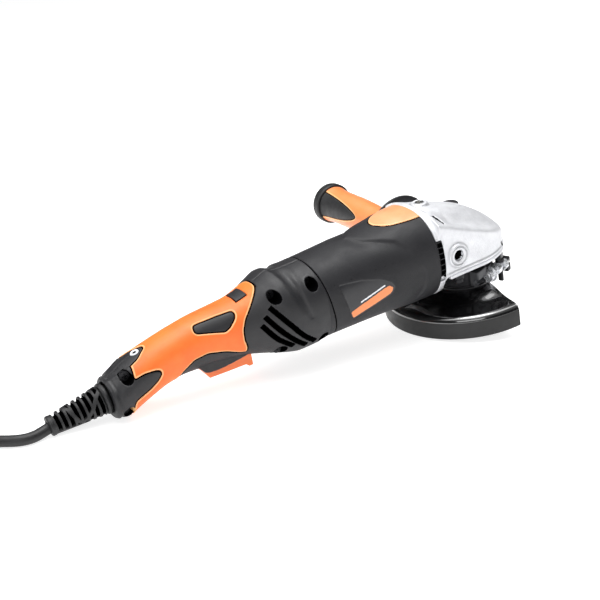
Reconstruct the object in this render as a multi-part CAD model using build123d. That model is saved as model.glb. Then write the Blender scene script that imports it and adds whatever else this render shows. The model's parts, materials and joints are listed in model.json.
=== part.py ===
from build123d import *
import math
import os

os.makedirs("parts", exist_ok=True)

# ------------------------------------------------------------------
# Long-handled angle grinder for 125 mm discs, lying on its guard and
# on the heel of its rear handle.  Millimetres.
#
# Everything on the tool is drawn in the tool's own axes: X forward
# along the motor axis, Y to the tool's left, Z up along the spindle,
# zero where the motor axis crosses the spindle axis.  The whole tool
# is then leaned back onto its heel and set on z = 0.  The mains lead
# lies on the floor, so it is drawn straight in the floor's axes.
# ------------------------------------------------------------------
PITCH = 7.5                      # lean back onto the heel, degrees
LIFT = 68.13                     # motor axis height above the guard rim, leaned
SHIFT_X, SHIFT_Y = 155.084, -44.15  # puts the origin under the middle of the tool

GUARD_R = 66.2                   # outside radius of the guard for a 125 mm disc
GUARD_RIM_Z = -60.0
GUARD_TOP_Z = -42.3
GUARD_T = 1.6                    # pressed steel
GUARD_CHORD = 11.0               # straight edge in front of the spindle
GUARD_TURN = -8.6                # how far the guard is turned at rest, degrees

SPINDLE_R = 7.0                  # M14 thread
SPINDLE_END_R = 6.0              # plain lead-in point below the thread
HANDLE_HOLE_R = 4.0              # M8 thread for the side handle
HANDLE_X, HANDLE_Z = -27.0, 1.0  # side handle axis

WALL = 2.6                       # moulded housing wall
SKIN = 1.3                       # depth of the soft overmould
SECTION_N = 2.3                  # how square the housing sections are

CORD_R = 4.0
CORD_COIL_R = 44.0               # middle of the coil's turns
COIL_XY = (-418.2, 88.4)         # coil centre before the shift

# x, top, bottom, half width
MOTOR_SECTIONS = [(-46, 39, -34, 38), (-60, 38.5, -34, 37.5), (-75, 36.5, -33.5, 35.8),
                  (-90, 34.8, -32.6, 34), (-112, 33, -32, 32.6), (-143, 31.5, -31.5, 31.5)]
HANDLE_SECTIONS = [(-143.4, 31.5, -31.5, 31.5), (-155, 31.2, -33.2, 31.8), (-165, 32.4, -33.4, 31.5),
                   (-174, 33.2, -31.5, 30.5), (-184, 29.8, -28, 27.5), (-196, 24.9, -24, 23.5),
                   (-208, 22.6, -20.6, 20.5), (-220, 21.8, -19.2, 19), (-232, 21.2, -18, 18),
                   (-244, 20.1, -17, 17.2), (-256, 18.2, -16.4, 16.8), (-268, 15.8, -17.8, 16.8),
                   (-280, 12.9, -21, 17.5), (-292, 9.8, -25, 18.5), (-303, 4.6, -28.59, 19),
                   (-310, 0.8, -27.19, 17.5), (-316, -1.5, -25, 15.5)]

FRONT_SCREWS = [(-181.2, 21.2), (-151.1, 20.9), (-183.0, -21.8), (-148.5, -23.6)]
REAR_SCREWS = [(-298.5, 2.6), (-304.0, -21.3)]
FLANGE_SCREWS = [(27, 25), (-27, 25), (22, -25), (-22, -25)]
COVER_SCREWS = [(20, 24), (20, -24), (-24, 27), (-24, -27)]

# crown gear and pinion, straight bevel, both apexes at the origin
GEAR_TEETH, PINION_TEETH = 35, 10
GEAR_PITCH_R = 22.0
PINION_PITCH_R = GEAR_PITCH_R * PINION_TEETH / GEAR_TEETH
FACE = 6.0
TRIGGER_PIVOT = (-236.0, -11.0)


# ------------------------------------------------------------------
# helpers
# ------------------------------------------------------------------
def V(*p):
    return Vector(*p)


def cyl_x(r, x0, x1, y=0.0, z=0.0):
    return Pos((x0 + x1) / 2, y, z) * Rot(0, 90, 0) * Cylinder(r, abs(x1 - x0))


def cyl_y(r, y0, y1, x=0.0, z=0.0):
    return Pos(x, (y0 + y1) / 2, z) * Rot(90, 0, 0) * Cylinder(r, abs(y1 - y0))


def cyl_z(r, z0, z1, x=0.0, y=0.0):
    return Pos(x, y, (z0 + z1) / 2) * Cylinder(r, abs(z1 - z0))


def tube_x(ro, ri, x0, x1):
    return cyl_x(ro, x0, x1) - cyl_x(ri, min(x0, x1) - 1, max(x0, x1) + 1)


def tube_z(ro, ri, z0, z1, x=0.0, y=0.0):
    return cyl_z(ro, z0, z1, x, y) - cyl_z(ri, min(z0, z1) - 1, max(z0, z1) + 1, x, y)


def block(x0, x1, y0, y1, z0, z1):
    return Pos((x0 + x1) / 2, (y0 + y1) / 2, (z0 + z1) / 2) * Box(x1 - x0, y1 - y0, z1 - z0)


def side_plate(pts, y0, y1, r=0.0):
    """A side-view outline (x, z) given a thickness from y0 to y1."""
    sk = Polygon(*pts, align=None)
    if r:
        sk = fillet(sk.vertices(), r)
    return Pos(0, y1, 0) * extrude(Plane.XZ * sk, y1 - y0, dir=(0, -1, 0))


def plan_plate(pts, z0, z1, r=0.0):
    sk = Polygon(*pts, align=None)
    if r:
        sk = fillet(sk.vertices(), r)
    return Pos(0, 0, z0) * extrude(sk, z1 - z0, dir=(0, 0, 1))


def spun(pts, axis_origin=(0, 0, 0), axis="z"):
    """A closed outline of (radius, height) pairs turned round an axis."""
    if axis == "z":
        f = Face(Wire.make_polygon([V(r, 0, h) for r, h in pts], close=True))
        s = Solid.revolve(f, 360, Axis.Z)
    elif axis == "x":
        f = Face(Wire.make_polygon([V(h, 0, r) for r, h in pts], close=True))
        s = Solid.revolve(f, 360, Axis.X)
    else:
        f = Face(Wire.make_polygon([V(r, h, 0) for r, h in pts], close=True))
        s = Solid.revolve(f, 360, Axis.Y)
    return Pos(*axis_origin) * s


def section(x, top, bottom, half, off=0.0, count=24):
    h, zc, w = (top - bottom) / 2 - off, (top + bottom) / 2, half - off
    pts = []
    for i in range(count):
        a = 2 * math.pi * i / count
        c, s = math.cos(a), math.sin(a)
        pts.append(V(x, w * math.copysign(abs(c) ** (2 / SECTION_N), c),
                     zc + h * math.copysign(abs(s) ** (2 / SECTION_N), s)))
    return Wire([Edge.make_spline(pts, periodic=True)])


def body(sections, off=0.0):
    return Solid.make_loft([section(*s, off=off) for s in sections])


def moved(sections, first=None, last=None):
    s = [list(v) for v in sections]
    if first is not None:
        s[0][0] = first
    if last is not None:
        s[-1][0] = last
    return s


def cross_recess(x, y, z, axis, size=4.2, depth=1.5, slot=0.9):
    """Cross-head driver slot cut into a screw head."""
    if axis == "y":
        return block(x - size / 2, x + size / 2, y, y + depth, z - slot / 2, z + slot / 2) + \
            block(x - slot / 2, x + slot / 2, y, y + depth, z - size / 2, z + size / 2)
    if axis == "x":
        return block(x - depth, x, y - size / 2, y + size / 2, z - slot / 2, z + slot / 2) + \
            block(x - depth, x, y - slot / 2, y + slot / 2, z - size / 2, z + size / 2)
    return block(x - size / 2, x + size / 2, y - slot / 2, y + slot / 2, z, z + depth) + \
        block(x - slot / 2, x + slot / 2, y - size / 2, y + size / 2, z, z + depth)


parts = {}        # on the tool, tool axes
floor_parts = {}  # the lead, floor axes


def keep(name, *shapes):
    parts[name] = list(shapes)


def solids(shape):
    return list(shape.solids())


# ------------------------------------------------------------------
# motor housing
# ------------------------------------------------------------------
m_outer = body(MOTOR_SECTIONS)
m_inner = body(moved(MOTOR_SECTIONS, first=-45.9, last=-140.0), off=WALL)
motor = m_outer - m_inner
for y, z in FLANGE_SCREWS:
    motor = motor + ((cyl_x(4.5, -60, -46, y, z) & m_outer))
for y, z in FLANGE_SCREWS:
    motor = motor - cyl_x(1.95, -59, -45, y, z)
motor = motor + cyl_x(13.5, -154.5, -140.5)
motor = motor - cyl_x(11.02, -155, -146.2) - cyl_x(8.0, -147, -139)
for k in range(6):
    a = math.radians(30 + 60 * k)
    motor = motor - cyl_x(4.6, -144, -139, 21.5 * math.cos(a), 21.5 * math.sin(a))
# exhaust openings beside the gear head
for s in (-1, 1):
    for z0 in (-10.5, -3.5, 3.5, 10.5):
        motor = motor - block(-52, -45, min(s * 28, s * 45), max(s * 28, s * 45), z0, z0 + 4.6)

m_skin = m_outer - body(MOTOR_SECTIONS, off=1.2)
leaf = plan_plate([(-78, 0), (-62, -13.5), (-46, -18), (-46, 18), (-62, 13.5)], 5, 60)
top_panel = m_skin & leaf
keep("top_panel", top_panel)
plate_pts = [(-131, 3.8), (-92, -0.5), (-89.5, -10.0), (-126, -12.8)]
m_thin = m_outer - body(MOTOR_SECTIONS, off=0.5)
nameplate = m_thin & side_plate(plate_pts, -60, -5, 1.5)
keep("nameplate", nameplate)
motor = motor - top_panel - nameplate
keep("motor_housing", motor)

# ------------------------------------------------------------------
# rear handle, two half shells with a soft overmould let into them
# ------------------------------------------------------------------
h_outer = body(HANDLE_SECTIONS)
h_inner = body(moved(HANDLE_SECTIONS, first=-143.3, last=-312.5), off=WALL)
h_trim = body(HANDLE_SECTIONS, off=0.6)
h_proud = body(HANDLE_SECTIONS, off=-0.7)
h_skin = h_outer - body(HANDLE_SECTIONS, off=SKIN)

ORANGE = [(-186.0, 45), (-188.8, 26.9), (-195.1, 21.8), (-203.7, 14), (-208.2, 5.3), (-207.7, -6.5),
          (-208.4, -12.6), (-224.2, -5.8), (-239.2, -1.3), (-250.6, -4), (-262, -10.5), (-266, -45),
          (-300.5, -45), (-299.6, -22), (-298.1, -16.2), (-285.4, -9.2), (-274.4, 0), (-283.7, 2.4),
          (-294.2, 1.9), (-291.5, 7.9), (-288.5, 45)]
INSET = [(-207.5, 18.6), (-225.5, 18.9), (-242.6, 18.0), (-243.2, 14), (-220.2, 7.0)]
orange_zone = side_plate(ORANGE, -60, 60) - side_plate(INSET, -60, 60, 1.6)
orange_zone = orange_zone - block(-300, -283.7, -5, 5, 0, 45) - cyl_z(5, 0, 45, -283.7, 0)
orange = h_skin & orange_zone

shell = h_outer - h_inner
for x, z in FRONT_SCREWS:
    shell = shell + (cyl_y(6.2, -40, 40, x, z) & h_trim)
for x, z in REAR_SCREWS:
    shell = shell + (cyl_y(5.2, -40, 40, x, z) & h_trim)
px, pz = TRIGGER_PIVOT
for s in (-1, 1):
    shell = shell + (cyl_y(3.8, min(s * 9.6, s * 30), max(s * 9.6, s * 30), px, pz) & h_trim)
# posts under the lead clamp
for s in (-1, 1):
    shell = shell + (block(-294, -286, min(s * 5, s * 12), max(s * 5, s * 12), -40, -6.05) & h_trim)
shell = shell - orange

cuts = [block(-204.8, -195.2, -8, 8, 9, 45),             # lock button window
        cyl_z(3.3, 4, 45, -284.4, 0),                     # indicator
        block(-243, -198.3, -9.4, 9.4, -45, -9.0),        # trigger mouth
        cyl_y(1.53, -13, 13, px, pz)]
for x, z in FRONT_SCREWS:
    cuts += [cyl_y(4.7, -45, -12, x, z), cyl_y(2.06, -13, 14, x, z)]
for x, z in REAR_SCREWS:
    cuts += [cyl_y(4.3, -45, -7, x, z), cyl_y(2.06, -8, 12, x, z)]
for s in (-1, 1):
    cuts.append(cyl_z(1.56, -19, 0, -290, s * 8.5))
# three slanted air inlets on each side
SLOTS = [[(-187.0, 16.0), (-176.6, 0.6), (-166.2, -13.4), (-156.5, -22.5)],
         [(-192.0, 10.5), (-183.0, -3.3), (-172.5, -15.5), (-164.0, -23.0)],
         [(-195.5, 4.8), (-186.5, -8.6), (-174.5, -19.5)]]
for path in SLOTS:
    ribbon = trace(Spline(*path), 3.4)
    slot = extrude(Plane.XZ * ribbon, 45, dir=(0, -1, 0))
    cuts += [(Pos(0, -16, 0) * slot), (Pos(0, 61, 0) * slot)]

# lead sleeve axis: leaves the heel a little downhill in the tool's axes
SL_A = V(-306.0, 0, -11.5)
SL_B = V(-356.0, 0, -15.6)
sl_dir = (SL_B - SL_A).normalized()
sleeve_plane = Plane(origin=SL_A, x_dir=(0, 1, 0), z_dir=sl_dir)
cuts.append(sleeve_plane * (Pos(0, 0, 10) * Cylinder(8.75, 24)))
cuts.append(sleeve_plane * (Pos(0, 0, 4.6) * Cylinder(9.8, 3.8)))

for c in cuts:
    shell = shell - c
    orange = orange - c

near = block(-330, -130, -70, 0, -70, 70)
far = block(-330, -130, 0, 70, -70, 70)


def biggest(shape):
    return max(solids(shape), key=lambda s: s.volume)


keep("handle_shell_right", biggest(shell & near))
keep("handle_shell_left", biggest(shell & far))
keep("grip_overmould_right", *[s for s in solids(orange & near) if s.volume > 20])
keep("grip_overmould_left", *[s for s in solids(orange & far) if s.volume > 20])

screws = []
for x, z in FRONT_SCREWS:
    s = cyl_y(3.9, -14.5, -12.0, x, z) + cyl_y(2.0, -12.1, 13, x, z) - cross_recess(x, -14.5, z, "y")
    screws.append(s)
for x, z in REAR_SCREWS:
    s = cyl_y(3.7, -9.5, -7.0, x, z) + cyl_y(2.0, -7.1, 11, x, z) - cross_recess(x, -9.5, z, "y")
    screws.append(s)
keep("handle_screws", *screws)

# lock button in the top window, indicator lens behind it
button = (block(-204.4, -195.6, -7.6, 7.6, 13.0, 45) & h_proud) + block(-206.2, -193.8, -9.2, 9.2, 11.5, 13.5)
keep("lock_button", button)
lens = cyl_z(3.2, 7.0, 45, -284.4, 0) & h_proud
keep("indicator_lens", lens)

# trigger
TRIG = [(-201.5, -13), (-201.7, -29.6), (-205, -29.4), (-207.2, -27.2), (-222, -26.6), (-237.1, -25.7),
        (-240.6, -19.5), (-241, -8), (-231.5, -8), (-230, -13)]
trigger = side_plate(TRIG, -9.0, 9.0, 0.7) - cyl_y(1.58, -10, 10, px, pz)
keep("trigger", trigger)
keep("trigger_pin", cyl_y(1.5, -12.8, 12.8, px, pz))

switch = block(-229, -203, -9, 9, -2.5, 8.5) - block(-216.4, -210.6, -3.4, 3.4, -3, 6)
switch = switch + block(-226, -220, -6, -2, 8.4, 10.4) + block(-226, -220, 2, 6, 8.4, 10.4)
keep("switch_module", switch)
plunger = block(-216, -211, -3, 3, -12.6, 1.0)
keep("switch_plunger", plunger)
keep("electronics_module", block(-266, -245, -7, 7, -6, 7))

# lead clamp and sleeve
clamp = block(-293.5, -286.5, -12, 12, -6.0, -3.0)
for s in (-1, 1):
    clamp = clamp - cyl_z(1.56, -7, 0, -290, s * 8.5)
keep("cord_clamp", clamp)
cs = []
for s in (-1, 1):
    t = cyl_z(1.5, -18.5, -2.9, -290, s * 8.5) + cyl_z(2.9, -3.0, -1.0, -290, s * 8.5)
    t = t - cross_recess(-290, s * 8.5, -2.2, "z", 3.2, 1.3, 0.8)
    cs.append(t)
keep("cord_clamp_screws", *cs)

SLEEVE_LEN = (SL_B - SL_A).length
prof = [(CORD_R + 0.05, 3.7), (9.5, 3.7), (9.5, 6.1), (8.6, 6.1), (8.6, 11.15), (11.4, 11.15), (11.4, 14.0)]
h = 14.0
while h < SLEEVE_LEN - 4.5:
    r = 10.9 - (h - 14.0) / (SLEEVE_LEN - 14.0) * 4.6
    prof += [(r - 1.7, h + 0.2), (r - 1.75, h + 1.3), (r, h + 1.5), (r - 0.25, h + 3.6)]
    h += 3.6
prof += [(6.3, h + 0.3), (6.2, SLEEVE_LEN), (4.75, SLEEVE_LEN), (4.6, SLEEVE_LEN - 9), (CORD_R + 0.05, SLEEVE_LEN - 12)]
keep("strain_relief", sleeve_plane * spun(prof))

# ------------------------------------------------------------------
# gear head
# ------------------------------------------------------------------
flange_face = Face(section(-46, *MOTOR_SECTIONS[0][1:]))
flange = Solid.extrude(flange_face, V(5.0, 0, 0))
with BuildSketch() as plan_sk:
    with BuildLine():
        Line((-45.5, -33.5), (-8, -35.5))
        ThreePointArc((-8, -35.5), (39.5, 0), (-8, 35.5))
        Line((-8, 35.5), (-45.5, 33.5))
        Line((-45.5, 33.5), (-45.5, -33.5))
    make_face()
head_plan = Pos(0, 0, -18) * extrude(plan_sk.sketch, 60, dir=(0, 0, 1))
with BuildSketch(Plane.XZ) as side_sk:
    with BuildLine():
        Spline((-45.5, 37.0), (-28, 35.0), (-10, 30.0), (8, 22.0), (24, 10.5), (34.5, -2), (40.5, -18.5))
        Line((40.5, -18.5), (-45.5, -18.5))
        Line((-45.5, -18.5), (-45.5, 37.0))
    make_face()
head_side = extrude(side_sk.sketch, 45, both=True)
head_front = Pos(-50, 0, 0) * extrude(Plane.YZ * Polygon((-37, -20), (-37, 3), (-31, 15), (-15, 36.4), (-8, 38),
                                                        (8, 38), (15, 36.4), (31, 15), (37, 3), (37, -20), align=None), 100, dir=(1, 0, 0))
head = head_plan & head_side & head_front
rounded = [e for e in head.edges() if e.bounding_box().max.Z > -15 and e.bounding_box().min.X > -44]
for rr in (3.0, 2.0, 1.2):
    try:
        t = fillet(rounded, rr)
        if t.is_valid:
            head = t
            print("gear head edges rounded", rr)
            break
    except Exception as err:
        print("gear head fillet", rr, type(err).__name__)
head = head + flange
# bosses for the side handle, both sides
for s in (-1, 1):
    head = head + cyl_y(9.0, min(s * 24, s * 36.2), max(s * 24, s * 36.2), HANDLE_X, HANDLE_Z)
head = head - cyl_z(27.5, -18.6, 2.0) - cyl_z(13.0, 1.0, 12.0) - cyl_z(7.52, 11.0, 22.2)
head = head - cyl_x(16.02, -46.5, -34.4) - cyl_x(11.0, -35, -20) - cyl_x(9.5, -30, -8)
for s in (-1, 1):
    head = head - cyl_y(HANDLE_HOLE_R, min(s * 20, s * 40), max(s * 20, s * 40), HANDLE_X, HANDLE_Z)
for y, z in FLANGE_SCREWS:
    head = head - cyl_x(2.1, -47, -40, y, z) - cyl_x(4.4, -41.0, 20, y, z)
for x, y in COVER_SCREWS:
    head = head - cyl_z(2.02, -19, -7, x, y)
LOCK_XY = (6.0, 15.2)
LOCK_AX = 3.0
head = head - cyl_z(LOCK_AX + 0.06, 0, 40, *LOCK_XY) - cyl_z(7.8, 13.0, 45, *LOCK_XY)
# crown screw on its own round pad
CROWN_XY = (-31.5, 2.0)
head = head + cyl_z(6.4, 24, 37.4, *CROWN_XY) - cyl_z(3.9, 36.1, 45, *CROWN_XY) - cyl_z(1.95, 22.5, 40, *CROWN_XY)
keep("gear_housing", biggest(head))

lock = cyl_z(LOCK_AX, 2.8, 17.5, *LOCK_XY) + cyl_z(7.4, 17.3, 21.0, *LOCK_XY)
try:
    lock = fillet(lock.edges().filter_by(GeomType.CIRCLE).group_by(Axis.Z)[-1], 1.4)
except Exception:
    pass
keep("spindle_lock_button", lock)

gs = []
for y, z in FLANGE_SCREWS:
    s = cyl_x(1.9, -57, -40.9, y, z) + cyl_x(3.5, -41, -37.8, y, z) - cross_recess(-37.8, y, z, "x")
    gs.append(s)
crown = cyl_z(1.9, 24, 36.3, *CROWN_XY) + cyl_z(3.5, 36.15, 37.7, *CROWN_XY)
crown = crown - block(-33.7, -29.3, 1.5, 2.5, 36.8, 39) - block(-32.0, -31.0, -0.2, 4.2, 36.8, 39)
gs.append(crown)
keep("gear_housing_screws", *gs)

# bearing cover with the neck that the guard turns on
NECK_R = 21.3
cover_plan = plan_sk.sketch & (Pos(20, 0) * Rectangle(102, 66))
cover = Pos(0, 0, -22.2) * extrude(cover_plan, 4.2, dir=(0, 0, 1))
cover = cover & block(-31, 60, -60, 60, -30, 0)
cover = cover + cyl_z(NECK_R, -41.0, -22.0)
cover = cover - cyl_z(16.02, -32.0, -17) - cyl_z(12.0, -42, -31)
for x, y in COVER_SCREWS:
    cover = cover - cyl_z(2.1, -23, -17, x, y)
keep("bearing_cover", cover)
bs = []
for x, y in COVER_SCREWS:
    s = cyl_z(2.0, -22.3, -8.5, x, y) + cyl_z(3.6, -24.8, -22.2, x, y) - cross_recess(x, y, -24.8, "z")
    bs.append(s)
keep("bearing_cover_screws", *bs)
keep("dust_seal", tube_z(11.9, 8.4, -38.0, -33.0))
keep("spindle_bush", tube_z(7.5, 5.05, 12.1, 22.0))

# ------------------------------------------------------------------
# bearings
# ------------------------------------------------------------------
keep("bearing_outer_rings", tube_x(16.0, 13.2, -44.5, -34.5), tube_z(16.0, 13.2, -32.0, -22.0), tube_x(11.0, 9.0, -153.6, -146.6))
keep("armature_bearing_inners", tube_x(8.6, 6.02, -44.5, -34.5), tube_x(6.0, 4.02, -153.6, -146.6))
keep("spindle_bearing_inner", tube_z(8.6, 6.02, -32.0, -22.0))
balls = []
for k in range(8):
    a = 2 * math.pi * k / 8
    balls.append(Pos(-39.5, 10.9 * math.cos(a), 10.9 * math.sin(a)) * Sphere(2.15))
    balls.append(Pos(10.9 * math.cos(a), 10.9 * math.sin(a), -27.0) * Sphere(2.15))
balls += [Pos(-150.1, 7.5 * math.cos(2 * math.pi * k / 7), 7.5 * math.sin(2 * math.pi * k / 7)) * Sphere(1.4)
          for k in range(7)]
keep("bearing_balls", *balls)

# ------------------------------------------------------------------
# motor
# ------------------------------------------------------------------
stator = tube_x(28.4, 20.8, -114, -68) - ((tube_x(25.2, 20.0, -115, -67)) & block(-116, -66, -30, 30, -13, 13))
keep("stator_core", stator)
coil_ring = tube_x(24.9, 21.3, -120, -63)
coil_keep = block(-121, -62, -30, 30, -12.6, 12.6) + block(-121, -114.3, -30, 30, -30, 30) + block(-67.7, -62, -30, 30, -30, 30)
coils = (coil_ring & coil_keep) - block(-122, -61, -30, 30, -0.4, 0.4)
keep("stator_coils", *solids(coils))
keep("air_baffle", tube_x(30.6, 25.6, -62.3, -60.7))

shaft = cyl_x(4.0, -154.2, -141) + cyl_x(6.0, -141.1, -34.2) + cyl_x(3.0, -34.3, -15) + cyl_x(2.6, -15.1, -11.0)
keep("armature_shaft", shaft)
core = tube_x(20.2, 6.02, -112, -70)
for k in range(12):
    a = 2 * math.pi * k / 12
    core = core - cyl_x(1.5, -113, -69, 18.9 * math.cos(a), 18.9 * math.sin(a)) \
        - (Rot(30 * k, 0, 0) * block(-113, -69, -0.8, 0.8, 18.5, 21))
keep("armature_core", core)
w1 = spun([(6.02, -69.9), (17.0, -69.9), (18.2, -68.0), (17.0, -64.4), (11.0, -63.5), (6.02, -64.5)], axis="x")
w2 = spun([(6.02, -112.1), (17.0, -112.1), (18.2, -114.5), (16.5, -119.0), (10.0, -121.5), (6.02, -122.0)], axis="x")
keep("armature_windings", w1, w2)
comm = tube_x(12.5, 6.02, -139.2, -123.0) + tube_x(13.8, 6.02, -125.0, -122.6)
for k in range(24):
    comm = comm - (Rot(15 * k, 0, 0) * block(-141, -125.2, -0.2, 0.2, 11.6, 13.0))
keep("commutator", comm)

fan = tube_x(27.6, 6.02, -50.4, -48.9) + tube_x(9.5, 6.02, -60.0, -48.9)
for k in range(11):
    fan = fan + (Rot(360 / 11 * k, 0, 0) * block(-59.8, -50.3, -0.7, 0.7, 9.0, 27.3))
keep("cooling_fan", fan)

holders, brushes, springs = [], [], []
for s in (-1, 1):
    y0, y1 = (14.2, 27.8) if s > 0 else (-27.8, -14.2)
    hb = block(-137.4, -126.6, y0, y1, -6, 6) - block(-135.3, -128.7, y0 - 1 if s > 0 else y0 + 1.2, y1 - 1.2 if s > 0 else y1 + 1, -4.3, 4.3)
    holders.append(hb)
    b0, b1 = (11.5, 22.5) if s > 0 else (-22.5, -11.5)
    brushes.append(block(-135, -129, b0, b1, -4, 4) - cyl_x(12.85, -136, -128))
    hx = Helix(pitch=0.85, height=3.4, radius=2.2)
    sp = sweep(Plane(hx @ 0, z_dir=hx % 0) * Circle(0.25), path=hx)
    springs.append(Pos(-132, s * 22.8, 0) * Rot(-90 * s, 0, 0) * sp)
keep("brush_holders", *holders)
keep("carbon_brushes", *brushes)
keep("brush_springs", *springs)

# ------------------------------------------------------------------
# bevel gears
# ------------------------------------------------------------------
CONE = math.hypot(GEAR_PITCH_R, PINION_PITCH_R)
MODULE = 2 * GEAR_PITCH_R / GEAR_TEETH
ADD, DED, HALF = 0.62 * MODULE, 1.0 * MODULE, 0.72
SMALL = (CONE - FACE) / CONE


def tooth(u, n, t):
    """One straight bevel tooth: u along the pitch cone, n out of it, t across it."""
    ends = []
    for k in (1.0, SMALL):
        ring = []
        for hgt, sgn in ((-DED - 0.35, -1), (ADD, -1), (ADD, 1), (-DED - 0.35, 1)):
            half = HALF - hgt * math.tan(math.radians(20))
            ring.append((u * CONE + n * hgt + t * (sgn * half)) * k)
        ends.append(ring)
    a, b = ends
    faces = [Face(Wire.make_polygon(a, close=True)), Face(Wire.make_polygon(b, close=True))]
    for i in range(4):
        j = (i + 1) % 4
        faces.append(Face(Wire.make_polygon([a[i], a[j], b[j], b[i]], close=True)))
    return Solid(Shell(faces))


gr, pr = GEAR_PITCH_R / CONE, PINION_PITCH_R / CONE
# crown gear below the motor axis, teeth up
root_o = (GEAR_PITCH_R - pr * DED, -PINION_PITCH_R - gr * DED)
root_i = (GEAR_PITCH_R * SMALL - pr * DED * SMALL, (-PINION_PITCH_R - gr * DED) * SMALL)
crown = spun([(6.02, -3.6), (10.4, -3.6), (10.8, root_i[1] - 0.9), (root_i[0] - 0.6, root_i[1] - 0.6), root_i, root_o,
              (root_o[0], -12.5), (12.0, -15.0), (8.4, -16.0), (8.4, -22.0), (6.02, -22.0)])
for k in range(GEAR_TEETH):
    a = math.pi + 2 * math.pi * k / GEAR_TEETH
    u = V(gr * math.cos(a), gr * math.sin(a), -pr)
    n = V(pr * math.cos(a), pr * math.sin(a), gr)
    t = V(-math.sin(a), math.cos(a), 0)
    crown = crown + tooth(u, n, t)
keep("crown_gear", biggest(crown))

# pinion on the motor shaft, a space at the bottom
proot_o = (PINION_PITCH_R - gr * DED, -GEAR_PITCH_R - pr * DED)
proot_i = ((PINION_PITCH_R - gr * DED) * SMALL, (-GEAR_PITCH_R - pr * DED) * SMALL)
pin = spun([(3.02, -34.0), (7.2, -34.0), (7.2, -24.5), (proot_o[0] + 0.5, proot_o[1] - 0.3), proot_o, proot_i, (3.02, proot_i[1])], axis="x")
for k in range(PINION_TEETH):
    a = -math.pi / 2 + 2 * math.pi * (k + 0.5) / PINION_TEETH
    c, s = math.cos(a), math.sin(a)
    u = V(-gr, pr * c, pr * s)
    n = V(pr, gr * c, gr * s)
    t = V(0, -s, c)
    pin = pin + tooth(u, n, t)
pin = pin - cyl_x(3.02, -35, -14)
keep("drive_pinion", biggest(pin))
nut = (Pos(-13.55, 0, 0) * Rot(0, 90, 0) * extrude(RegularPolygon(3.8, 6), 1.4, both=True)) - cyl_x(2.62, -17, -10)
keep("pinion_nut", nut)

# ------------------------------------------------------------------
# spindle
# ------------------------------------------------------------------
spindle = spun([(0, 21.6), (4.6, 21.6), (5.0, 21.2), (5.0, 8.0), (6.0, 7.4), (6.0, -32.0), (8.0, -32.0), (8.0, -41.5),
                (SPINDLE_R, -41.5), (SPINDLE_R, -52.6), (SPINDLE_END_R, -52.6), (SPINDLE_END_R, -57.5), (SPINDLE_END_R - 1.1, -58.7),
                (0, -58.7)])
keep("output_spindle", spindle)
flange_in = spun([(7.03, -41.6), (14.0, -41.6), (19.5, -43.4), (20.0, -44.2), (20.0, -46.2), (15.0, -46.2), (14.6, -45.6),
                  (11.0, -45.6), (11.0, -46.2), (7.03, -46.2)])
keep("inner_flange", flange_in)
cn = spun([(7.03, -46.25), (11.0, -46.25), (11.0, -46.9), (14.6, -46.9), (15.0, -46.25), (20.0, -46.25), (20.0, -49.6),
           (19.0, -50.6), (12.5, -50.6), (12.0, -52.5), (7.03, -52.5)])
for k in range(4):
    a = math.radians(45 + 90 * k)
    cn = cn - cyl_z(2.4, -51, -47.6, 16.0 * math.cos(a), 16.0 * math.sin(a))
keep("clamp_nut", cn)

# ------------------------------------------------------------------
# guard
# ------------------------------------------------------------------
GUARD_BORE = NECK_R + 0.08
CENTRE_Z = -38.4
T = GUARD_T


def corner(cx, cz, r, a0, a1, n=6):
    return [(cx + r * math.cos(math.radians(a0 + (a1 - a0) * i / n)), cz + r * math.sin(math.radians(a0 + (a1 - a0) * i / n))) for i in range(n + 1)]


outer_line = [(GUARD_BORE, CENTRE_Z), (37, CENTRE_Z), (42.5, GUARD_TOP_Z)] + corner(GUARD_R - 3.4, GUARD_TOP_Z - 3.4, 3.4, 90, 0) + [(GUARD_R, GUARD_RIM_Z)]
inner_line = [(GUARD_BORE, CENTRE_Z - T), (36.5, CENTRE_Z - T), (42, GUARD_TOP_Z - T)] + corner(GUARD_R - 3.4, GUARD_TOP_Z - 3.4, 3.4 - T, 90, 0) + [(GUARD_R - T, GUARD_RIM_Z)]
guard = spun(outer_line + inner_line[::-1])
guard = guard & block(-80, GUARD_CHORD, -80, 80, -70, -30)
guard = guard + (tube_z(26.5, GUARD_BORE, CENTRE_Z - T, CENTRE_Z))
turn = Rot(0, 0, GUARD_TURN)
keep("guard_shell", turn * biggest(guard))

CLAMP_A = -30.0
collar = tube_z(NECK_R + 2.7, GUARD_BORE, CENTRE_Z, -26.0)
collar = collar - block(15, 40, -3.0, 3.0, -50, -20)
for s in (-1, 1):
    ear = block(22.6, 40.0, min(s * 3.0, s * 5.2), max(s * 3.0, s * 5.2), -38.3, -26.8)
    ear = fillet(ear.edges().filter_by(Axis.Y).group_by(Axis.X)[-1], 3.0)
    collar = collar + (ear - cyl_z(GUARD_BORE, -50, -20))
collar = collar - cyl_y(3.06, -12, 12, 31.5, -32.8)
keep("guard_collar", Rot(0, 0, CLAMP_A) * collar)
bolt = cyl_y(3.0, -5.3, 12.0, 31.5, -32.8)
bolt = bolt + (Pos(31.5, -9.2, -32.8) * Rot(90, 0, 0) * extrude(RegularPolygon(5.3, 6), 2.0, both=True)) + cyl_y(6.2, -7.3, -5.2, 31.5, -32.8)
keep("guard_clamp_bolt", Rot(0, 0, CLAMP_A) * bolt)
gnut = (Pos(31.5, 7.7, -32.8) * Rot(90, 0, 0) * extrude(RegularPolygon(5.3, 6), 2.45, both=True)) - cyl_y(3.05, 3, 14, 31.5, -32.8)
keep("guard_clamp_nut", Rot(0, 0, CLAMP_A) * gnut)

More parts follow.
